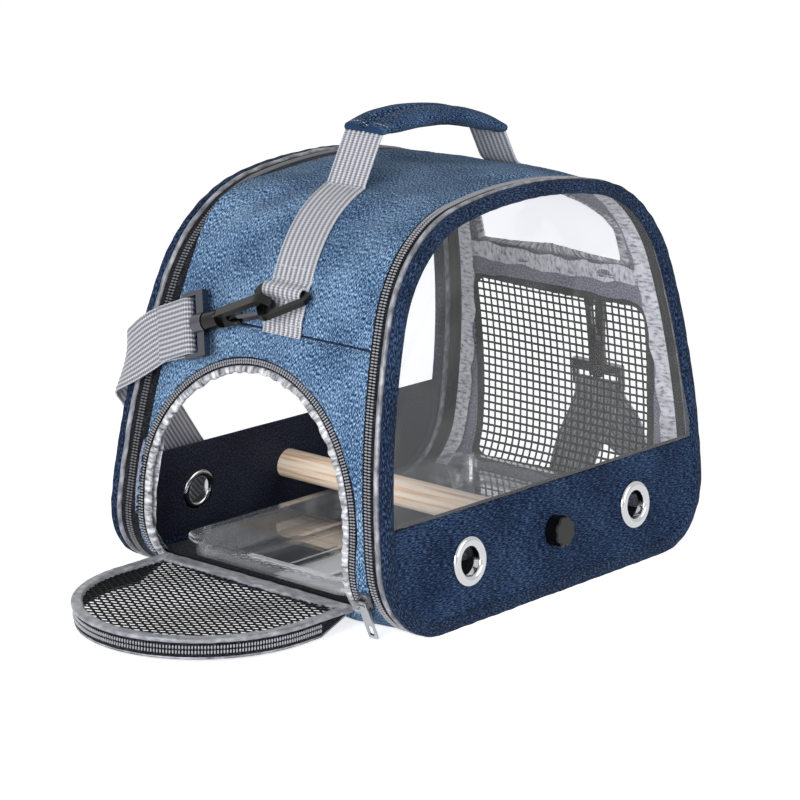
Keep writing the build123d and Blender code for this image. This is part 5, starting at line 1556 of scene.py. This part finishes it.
def grip_line(count, past=0.0):
    """Points along the grip's arc, from its left end to its right one."""
    turned = np.linspace(grip_from - past / grip_radius, grip_to + past / grip_radius, count)
    x = grip_centre[0] + grip_radius * np.sin(turned)
    z = grip_centre[1] + grip_radius * np.cos(turned)
    return np.stack([x, 0 * x, z], axis=-1)


foot_x = np.linspace(HANDLE_RIGHT_X - 4, HANDLE_RIGHT_X + HANDLE_FOOT, 6)
foot = [roof_spot(x, 2.9) for x in foot_x]
handle_path = np.concatenate([[roof_spot(HANDLE_LEFT_X, 3.4)], grip_line(40), foot])
(handle_path,) = resampled(handle_path, 1.0)
handle_path = rounded(handle_path, 9)
handle = tape("handle_webbing_tape", handle_path, DEPTHWISE, WEB_W, WEB_T)
dress(handle, pale_webbing, "carrier", "grey_webbing", "handle_webbing")
print("handle webbing", round(len(handle_path)), "mm long")

# %% [markdown]
# The grip is a denim sleeve round a strip of foam. It was sewn down its middle, so it swells into
# two rolls with a valley between, and its ends were folded in and stitched. The section is an oval
# squeezed at the valley, and it narrows where the ends were pulled tight. Simulated air then fills
# the rolls out between the stitches.

# %% Padded grip
GRIP_W, GRIP_T, GRIP_LENGTH, GRIP_GIRTH = 36.0, 12.24, 130, 90
GRIP_ROWS, GRIP_COLS, GRIP_HEM = 110, 72, 6
GRIP_AIR, GRIP_SWELL = 80.0, 1.2


def grip_section():
    """Two rolls side by side: an oval squeezed in its middle."""
    turned = np.linspace(0, 2 * np.pi, GRIP_COLS, endpoint=False)
    u = np.sign(np.cos(turned)) * np.abs(np.cos(turned)) ** 0.75
    v = np.sign(np.sin(turned)) * np.abs(np.sin(turned)) ** 0.7
    squeeze = 1 - 0.78 * near(u, 0.0, 0.17)
    return np.stack([u, v * squeeze], axis=-1)


grip_path = grip_line(GRIP_ROWS, past=2.0)
grip_at = np.linspace(0, 1, GRIP_ROWS)
grip_shape = grip_section()
end_way = np.minimum(grip_at, 1 - grip_at)[:, None]
close_in = 1 - 0.1 * near(end_way, 0, 0.012)
flat_ends = 1 - 0.42 * near(end_way, 0, 0.1)
crumple = waves(grip_at[:, None] * GRIP_LENGTH, GRIP_W / 2 * grip_shape[:, 0], 17, 14, 97)
grip_u = GRIP_W / 2 * grip_shape[:, 0] * close_in * (1 + 0.05 * crumple)
grip_v = GRIP_T / 2 * grip_shape[:, 1] * flat_ends * (1 + 0.05 * crumple)
ahead = unit(np.gradient(grip_path, axis=0))
grip_up = np.cross(ahead, [0.0, -1.0, 0.0])
grip_up *= np.sign(grip_up[:, 2:])
grip_points = grip_path[:, None] + grip_up[:, None] * grip_v[..., None]
grip_points[..., 1] += grip_u
grip_round = np.linspace(0, GRIP_GIRTH, GRIP_COLS + 1)[None, :]
grip_pattern = pattern_of(grip_round, grip_at[:, None] * GRIP_LENGTH)
grip = tube("handle_grip_sleeve", grip_points, grip_pattern)
dress(grip, grip_cloth, "carrier", "navy_cloth", "handle_grip")

# %% The grip's seams and stitches
valley_top, valley_low = GRIP_COLS // 4, GRIP_COLS * 3 // 4
grip_sewn = np.zeros((GRIP_ROWS, GRIP_COLS), bool)
grip_sewn[:GRIP_HEM] = grip_sewn[-GRIP_HEM:] = True
for valley in (valley_top, valley_low):
    grip_sewn[:, valley - 1 : valley + 2] = True
billow(grip, GRIP_AIR, GRIP_SWELL, np.flatnonzero(grip_sewn))
grip_top, between = slice(4, 33), slice(GRIP_HEM, -GRIP_HEM)
grip_rows = [
    (grip_points[row, grip_top], unit(grip_points[row, grip_top] - grip_path[row]))
    for row in (4, 105)
]
along_valley = grip_points[between, valley_top] + 0.15 * grip_up[between]
grip_rows.append((along_valley, grip_up[between]))
stitched("handle_grip_stitches", grip_rows, "carrier", "navy_cloth")
print("grip swells to", round(float(np.ptp(grip_points[..., 1])), 1), "mm wide")

# %% [markdown]
# On the left the webbing runs on from the handle, over the shoulder and down to a loop that holds
# the ring. On the right a short tab does the same job at the seam.

# %% Webbing on the ends
RING_BAR = {
    "left": np.array([-145.88, -14.0, 200.88]),
    "right": np.array([154.53, -22.0, 172.85]),
}
RING_UP = {"left": np.array([0.8444, 0.0, 0.5358]), "right": np.array([-0.4657, 0.0, 0.8849])}
BAR_R = 3.1
LOOP_R = BAR_R + WEB_T / 2
WEBBING_OFF, PATCH_Y = 2.6, -14.0


def loop_path(end_name, side):
    """Up the wall, out round the ring's bar, and back in to the wall: a hairpin of webbing."""
    bar = RING_BAR[end_name] + RING_UP[end_name] * 0.5
    s_bar = side * float(s_at(bar[2]))
    wall_out = outward(s_bar)
    wall_up = np.array([-wall_out[2], 0.0, wall_out[0]]) * side * -1
    wall_up = wall_up * np.sign(wall_up[2])
    turned = np.radians(np.linspace(115, -115, 26))[:, None]
    bend = bar + LOOP_R * (np.cos(turned) * wall_out + np.sin(turned) * wall_up)
    high = shell(s_bar - side * 7.0, bar[1], WEBBING_OFF)
    low = shell(s_bar + side * 7.0, bar[1], WEBBING_OFF)
    return np.concatenate([[high], bend, [low]])


for end_name, side in (("left", -1), ("right", 1)):
    (path,) = resampled(loop_path(end_name, side), 0.6)
    path = rounded(path, 3)
    loop = tape(end_name + "_ring_loop", path, DEPTHWISE, WEB_W, WEB_T)
    dress(loop, pale_webbing, "carrier", "grey_webbing")
    if end_name == "right":
        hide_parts("right_tab")

left_top_s = float(s_at_x(HANDLE_LEFT_X))
bar_s = -float(s_at(RING_BAR["left"][2]))
drop_s = np.linspace(left_top_s + 1.5, bar_s - 1.0, 120)
drop_y = np.interp(drop_s, [bar_s, left_top_s], [PATCH_Y, 0.0])
drop_lift = 3.0 + 0.4 * near(drop_s, left_top_s, 10) + 1.2 * near(drop_s, bar_s, 5)
drop_path = shell(drop_s, drop_y, drop_lift)
drop = tape("left_shoulder_webbing", drop_path, DEPTHWISE, WEB_W, WEB_T)
dress(drop, pale_webbing, "carrier", "grey_webbing", "left_webbing")
patch_s = np.linspace(bar_s - 5, -SEAM_S - 2, 40)
patch_path = shell(patch_s, PATCH_Y, 2.9 - 1.6 * near(patch_s, -SEAM_S, 5))
patch = tape("left_webbing_patch", patch_path, DEPTHWISE, WEB_W, WEB_T)
dress(patch, pale_webbing, "carrier", "grey_webbing")


def across_webbing(s, y, lift):
    """A line of points across the webbing at s, and the way out of the cloth there."""
    return shell(np.full(9, s), y + np.linspace(-13, 13, 9), lift), outward(s)


patch_edge = shell(np.linspace(bar_s - 8, -SEAM_S + 4, 9), -27.6, 3.5)
sewn_rows = [
    across_webbing(left_top_s - 2.5, -0.5, 4.5),
    across_webbing(bar_s + 13, -11.8, 4.2),
    across_webbing(-SEAM_S + 5, PATCH_Y, 3.6),
    (patch_edge, outward(bar_s - 10)),
]
stitched("left_webbing_stitches", sewn_rows, "carrier", "grey_webbing")
print("left webbing runs", round(float(drop_s[0] - drop_s[-1])), "mm down")

# %% [markdown]
# ## Shoulder strap
#
# The strap leaves the left hook's frame, goes down the back, lies on edge behind the bag, crosses
# the floor at the right end and climbs to the right hook. It is one tape along a smooth line that
# follows the route's points. Each point also says which way the strap's width lies, so the strap
# twists as it goes. The two hooks hang on rings that swing, so the strap is cut where it is hidden
# or straight.

# %% The strap's route
STRAP_W, STRAP_T, FRAME_BACK = 36.0, 1.6, 15.0
LEFT_FRAME = np.array([-158.336, 40.667, 175.187])
LEFT_X, LEFT_Y = np.array([0.0057, -0.9373, 0.3484]), np.array([0.2849, 0.3354, 0.8979])
LEFT_Z = np.array([-0.9585, 0.0941, 0.269])
RIGHT_FRAME = np.array([171.219, -22.0, 104.173])
RIGHT_X, RIGHT_Y = np.array([-0.1439, 0.0, 0.9896]), np.array([0.0, -1.0, 0.0])
RIGHT_Z = np.array([0.9896, 0.0, 0.1439])
LEFT_BAR, RIGHT_BAR = (LEFT_FRAME, LEFT_X, LEFT_Z), (RIGHT_FRAME, RIGHT_X, RIGHT_Z)
LEFT_EYE_R, FOLD_MID = 3.2, 3.15


def behind_bar(place, forward, out_way, back_by, out=0.0):
    """A point behind the bar of a strap frame."""
    return place - forward * (FRAME_BACK + back_by) + out_way * out


STRAP_ROUTE = [
    (behind_bar(*LEFT_BAR, 22), LEFT_Y),
    (behind_bar(*LEFT_BAR, 28), LEFT_Y),
    ((-160.5, 87.5, 155.0), (0.22, 0.42, 0.88)),
    ((-161.5, 104.0, 142.5), (0.35, 0.35, 0.87)),
    ((-156.0, 114.0, 134.5), (0.55, 0.1, 0.83)),
    ((-142.0, 119.5, 124.5), (0.76, 0.0, 0.65)),
    ((-111.4, 121.8, 88.6), (0.76, 0.0, 0.65)),
    ((-83.2, 126.0, 55.3), (0.72, 0.0, 0.69)),
    ((-60.0, 130.0, 34.0), (0.5, 0.0, 0.87)),
    ((-30.0, 134.0, 22.5), (0.25, 0.1, 0.97)),
    ((10.0, 138.0, 18.9), (0.0, 0.12, 0.99)),
    ((60.0, 141.0, 18.9), (0.0, 0.1, 0.99)),
    ((110.0, 142.0, 18.9), (0.0, 0.0, 1.0)),
    ((150.0, 143.0, 18.9), (0.0, 0.0, 1.0)),
    ((176.0, 138.0, 18.9), (0.0, 0.0, 1.0)),
    ((187.0, 122.0, 18.0), (-0.3, 0.0, 0.95)),
    ((189.0, 106.0, 14.0), (-0.7, 0.0, 0.7)),
    ((189.0, 88.0, 7.0), (-0.94, 0.0, 0.34)),
    ((188.5, 66.0, 1.3), (-1.0, 0.0, 0.0)),
    ((188.0, 40.0, 1.3), (-1.0, 0.0, 0.0)),
    ((188.0, -20.0, 1.3), (-1.0, 0.0, 0.0)),
    ((188.0, -44.0, 2.2), (-1.0, 0.0, 0.0)),
    ((188.0, -56.0, 8.5), (-1.0, 0.0, 0.0)),
    ((186.5, -60.0, 20.0), (-0.94, -0.34, 0.0)),
    ((182.5, -59.0, 33.0), (-0.7, -0.7, 0.0)),
    ((179.5, -53.0, 45.0), (-0.3, -0.95, 0.0)),
    ((178.8, -43.0, 55.0), (0.0, -1.0, 0.0)),
    ((178.9, -31.0, 66.0), (0.0, -1.0, 0.0)),
    (behind_bar(*RIGHT_BAR, 10, FOLD_MID), RIGHT_Y),
    (behind_bar(*RIGHT_BAR, 4, FOLD_MID), RIGHT_Y),
]
TAIL_ROUTE = [
    (behind_bar(*RIGHT_BAR, 4, -FOLD_MID), RIGHT_Y),
    (behind_bar(*RIGHT_BAR, 10, -FOLD_MID), RIGHT_Y),
    ((171.6, -16.0, 62.0), (0.0, -1.0, 0.0)),
    ((170.8, -8.0, 44.0), (0.0, -1.0, 0.0)),
    ((170.6, -3.0, 26.0), (0.0, -1.0, 0.0)),
    ((171.5, 0.0, 6.0), (0.0, -1.0, 0.0)),
]


def strap_run(route):
    """A route's points and width directions, spread out and rounded."""
    points = np.array([spot for spot, _ in route], float)
    widths = unit(np.array([way for _, way in route], float))
    points, widths = resampled(points, 2.0, widths)
    return rounded(points, 6), unit(rounded(widths, 6))


def bar_bend(place, forward, out_way, width_way, low_deg, high_deg, radius):
    """Points round a strap frame's bar, and the strap's width direction at each."""
    turned = np.radians(np.linspace(low_deg, high_deg, 24))[:, None]
    bar = place - forward * FRAME_BACK
    points = bar + radius * (np.cos(turned) * out_way + np.sin(turned) * forward)
    return points, np.tile(width_way, (24, 1))


run, widths = strap_run(STRAP_ROUTE)
tail_run, tail_widths = strap_run(TAIL_ROUTE)
strap_gone = np.linalg.norm(np.diff(run, axis=0), axis=1).sum()
print("strap from bar to bar about", round(float(strap_gone + 26)), "mm")

# %% [markdown]
# A strap can't follow two joints at once as one piece, so it is cut into lengths whose ends meet:
# an eye round each frame's bar, and lengths between. The length that lies behind the bag goes on the
# bag's body, and the others keep their places baked into their meshes.

# %% The strap in lengths
# The cuts count the run's points, which are 2 mm apart: NEAR from its left end, the other two from
# its right end. The cut behind the bag is the low point nearest to FAR_CUT_X.
NEAR, RIGHT_NEAR, RIGHT_FAR = 31, 34, 66
FAR_CUT_X, EYE_BACK, STRAP_RIBS = -42.0, 26, 12
cut = int(np.argmin(np.abs(run[:200, 0] - FAR_CUT_X) + 1000 * (run[:200, 2] > 60)))


def strap_piece(name, points, directions, width=STRAP_W):
    """A length of strap in its webbing, not yet on any body."""
    made = tape(name, points, directions, width, STRAP_T, STRAP_RIBS, uneven=0.0)
    made.data.materials.append(strap_webbing)
    return made


def run_piece(name, start, end):
    """The length of the strap's run from one point's number up to another's."""
    return strap_piece(name, run[start:end], widths[start:end])


def joined(made):
    """Bake a length's place into its own mesh."""
    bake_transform(made)


left_end = behind_bar(*LEFT_BAR, EYE_BACK)
bend, _ = bar_bend(*LEFT_BAR, LEFT_Y, -10, 190, LEFT_EYE_R)
eye_points = np.concatenate([[left_end + LEFT_Z * 0.95], bend, [left_end - LEFT_Z * 0.95]])
eye_points, eye_widths = resampled(eye_points, 0.8, np.tile(LEFT_Y, (len(eye_points), 1)))
eye = strap_piece("strap_left_eye", rounded(eye_points, 2), eye_widths, STRAP_W - 0.4)
joined(eye)
near_part = run_piece("strap_left_near", 0, NEAR)
joined(near_part)
left_part = run_piece("strap_left_part", NEAR - 1, cut)
joined(left_part)
middle_part = run_piece("strap_middle_part", cut - 1, -RIGHT_FAR)
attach(middle_part, "carrier")
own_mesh(middle_part)
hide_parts("shoulder_strap")

# %% The strap's right end and tail
right_part = run_piece("strap_right_part", -RIGHT_FAR - 1, -RIGHT_NEAR)
joined(right_part)
right_near = run_piece("strap_right_near", -RIGHT_NEAR - 1, -10)
joined(right_near)
bend, bend_widths = bar_bend(*RIGHT_BAR, RIGHT_Y, -12, 192, FOLD_MID)
eye_points = np.concatenate([run[-11:-1], bend, tail_run[:9]])
eye_widths = np.concatenate([widths[-11:-1], bend_widths, tail_widths[:9]])
eye_points, eye_widths = resampled(eye_points, 1.2, eye_widths)
right_eye = strap_piece("strap_right_eye", rounded(eye_points, 2), eye_widths)
joined(right_eye)
tail_part = strap_piece("strap_tail", tail_run[8:], tail_widths[8:])
joined(tail_part)
print("strap lengths joined; the longest is", 2 * (len(run) - cut - RIGHT_FAR), "mm")

# %% [markdown]
# ## Finishes on the frame's own parts
#
# The hard parts keep the frame's solids: they are moulded, cast, turned or pressed to those shapes.
# Only their finish is set here.

# %% Finish of the hard parts
ZIP_PARTS = [f"{place}_{part}" for place in ("door", "front", "back") for part in ("slider", "pull")]
HARD_PARTS = (
    (beech, ["perch"]),
    (clear_styrene, ["tray"]),
    (die_cast, ZIP_PARTS),
    (black_acetal, ["front_knob", "back_knob", "left_ring", "right_ring", "left_hook", "right_hook"]),
    (black_nickel, ["left_gate", "right_gate", "left_strap_frame", "right_strap_frame"]),
)
for material, node_names in HARD_PARTS:
    for node_name in node_names:
        finishes = nodes[node_name].data.materials
        finishes.clear()
        finishes.append(material)
    print(material.name, "on", len(node_names), "parts")

# %% [markdown]
# ## Floor and light
#
# A white floor and a white world give an even ground, and the floor keeps the soft shadow. The
# object's own light is plain: a pale dome, stronger near the ground than overhead, a broad lamp low
# on the left, which lights the door's end more than the roof, and a weaker one at the front. Rays
# that come straight from the camera, off something shiny or through something clear see the dome as
# white, and the floor glows a little for the first two kinds, so that it meets the dome.

# %% Floor, dome and lamps
DOME_LOW, DOME_HIGH, FLOOR_GLOW = 0.42, 0.14, 0.72
KEY_WATTS, FILL_WATTS = 48.0, 17.0
STUDIO_HALF, STUDIO_FLOOR_Z = 4000.0, -0.05


def ray_is(tree, first, *others):
    """One where a ray is of any of these kinds and otherwise nought: the largest of their flags."""
    rays = add(tree, "ShaderNodeLightPath")
    largest = rays.outputs[f"Is {first} Ray"]
    for kind in others:
        pair = {0: largest, 1: rays.outputs[f"Is {kind} Ray"]}
        largest = add(tree, "ShaderNodeMath", pair, operation="MAXIMUM")
    return largest


span = (-STUDIO_HALF, STUDIO_HALF)
studio_points = np.array([[[x, y, STUDIO_FLOOR_Z] for x in span] for y in span])
studio_up = np.array([0.0, 0.0, 1.0])
studio_floor = surface("studio_floor", studio_points, studio_points[..., :2], studio_up)
floor_paint, tree, shader = new_finish("matt_white_paint")
seen = ray_is(tree, "Camera", "Glossy")
glow = add(tree, "ShaderNodeMath", {0: seen, 1: FLOOR_GLOW}, operation="MULTIPLY")
feed(tree, shader, {"Base Color": "#FFFFFF", "Roughness": 0.9, "Specular IOR Level": 0.1})
feed(tree, shader, {"Emission Color": "#FFFFFF", "Emission Strength": glow})
studio_floor.data.materials.append(floor_paint)

world = bpy.data.worlds.new("dome")
bpy.context.scene.world = world
tree = bare_tree(world)
sky_way = add(tree, "ShaderNodeTexCoord").outputs["Generated"]
up = add(tree, "ShaderNodeSeparateXYZ", {0: sky_way}).outputs[2]
light = add(tree, "ShaderNodeMapRange", {0: up, "To Min": DOME_LOW, "To Max": DOME_HIGH})
seen = ray_is(tree, "Camera", "Glossy", "Transmission")
strength = add(tree, "ShaderNodeMapRange", {0: seen, "To Min": light, "To Max": 1.0})
dome = add(tree, "ShaderNodeBackground", {"Color": "#FFFFFF", "Strength": strength})
add(tree, "ShaderNodeOutputWorld", {"Surface": dome})
print("floor and dome ready")

# %% Lamps
LAMP_SIZE, LAMP_TARGET = 1.4, (0, 0, 0.1)


def lamp(name, place, watts):
    """A square area lamp that points from its place to the carrier, in metres and watts."""
    made = bpy.data.objects.new(name, bpy.data.lights.new(name, "AREA"))
    made.data.shape = "SQUARE"
    made.data.size = LAMP_SIZE
    made.data.energy = watts
    bpy.context.scene.collection.objects.link(made)
    facing = unit(np.array(place) - np.array(LAMP_TARGET))
    across = unit(np.cross((0, 1, 0.01), facing))
    turn = np.eye(4)
    turn[:3, :3] = np.stack([across, np.cross(facing, across), facing], axis=1)
    turn[:3, 3] = place
    made.matrix_world = Matrix(turn.tolist())


lamp("key", (-2.3, -0.7, 0.75), KEY_WATTS)
lamp("fill", (0.5, -2.1, 1.0), FILL_WATTS)
view = bpy.context.scene.view_settings
view.view_transform = "Standard"
print("studio ready")
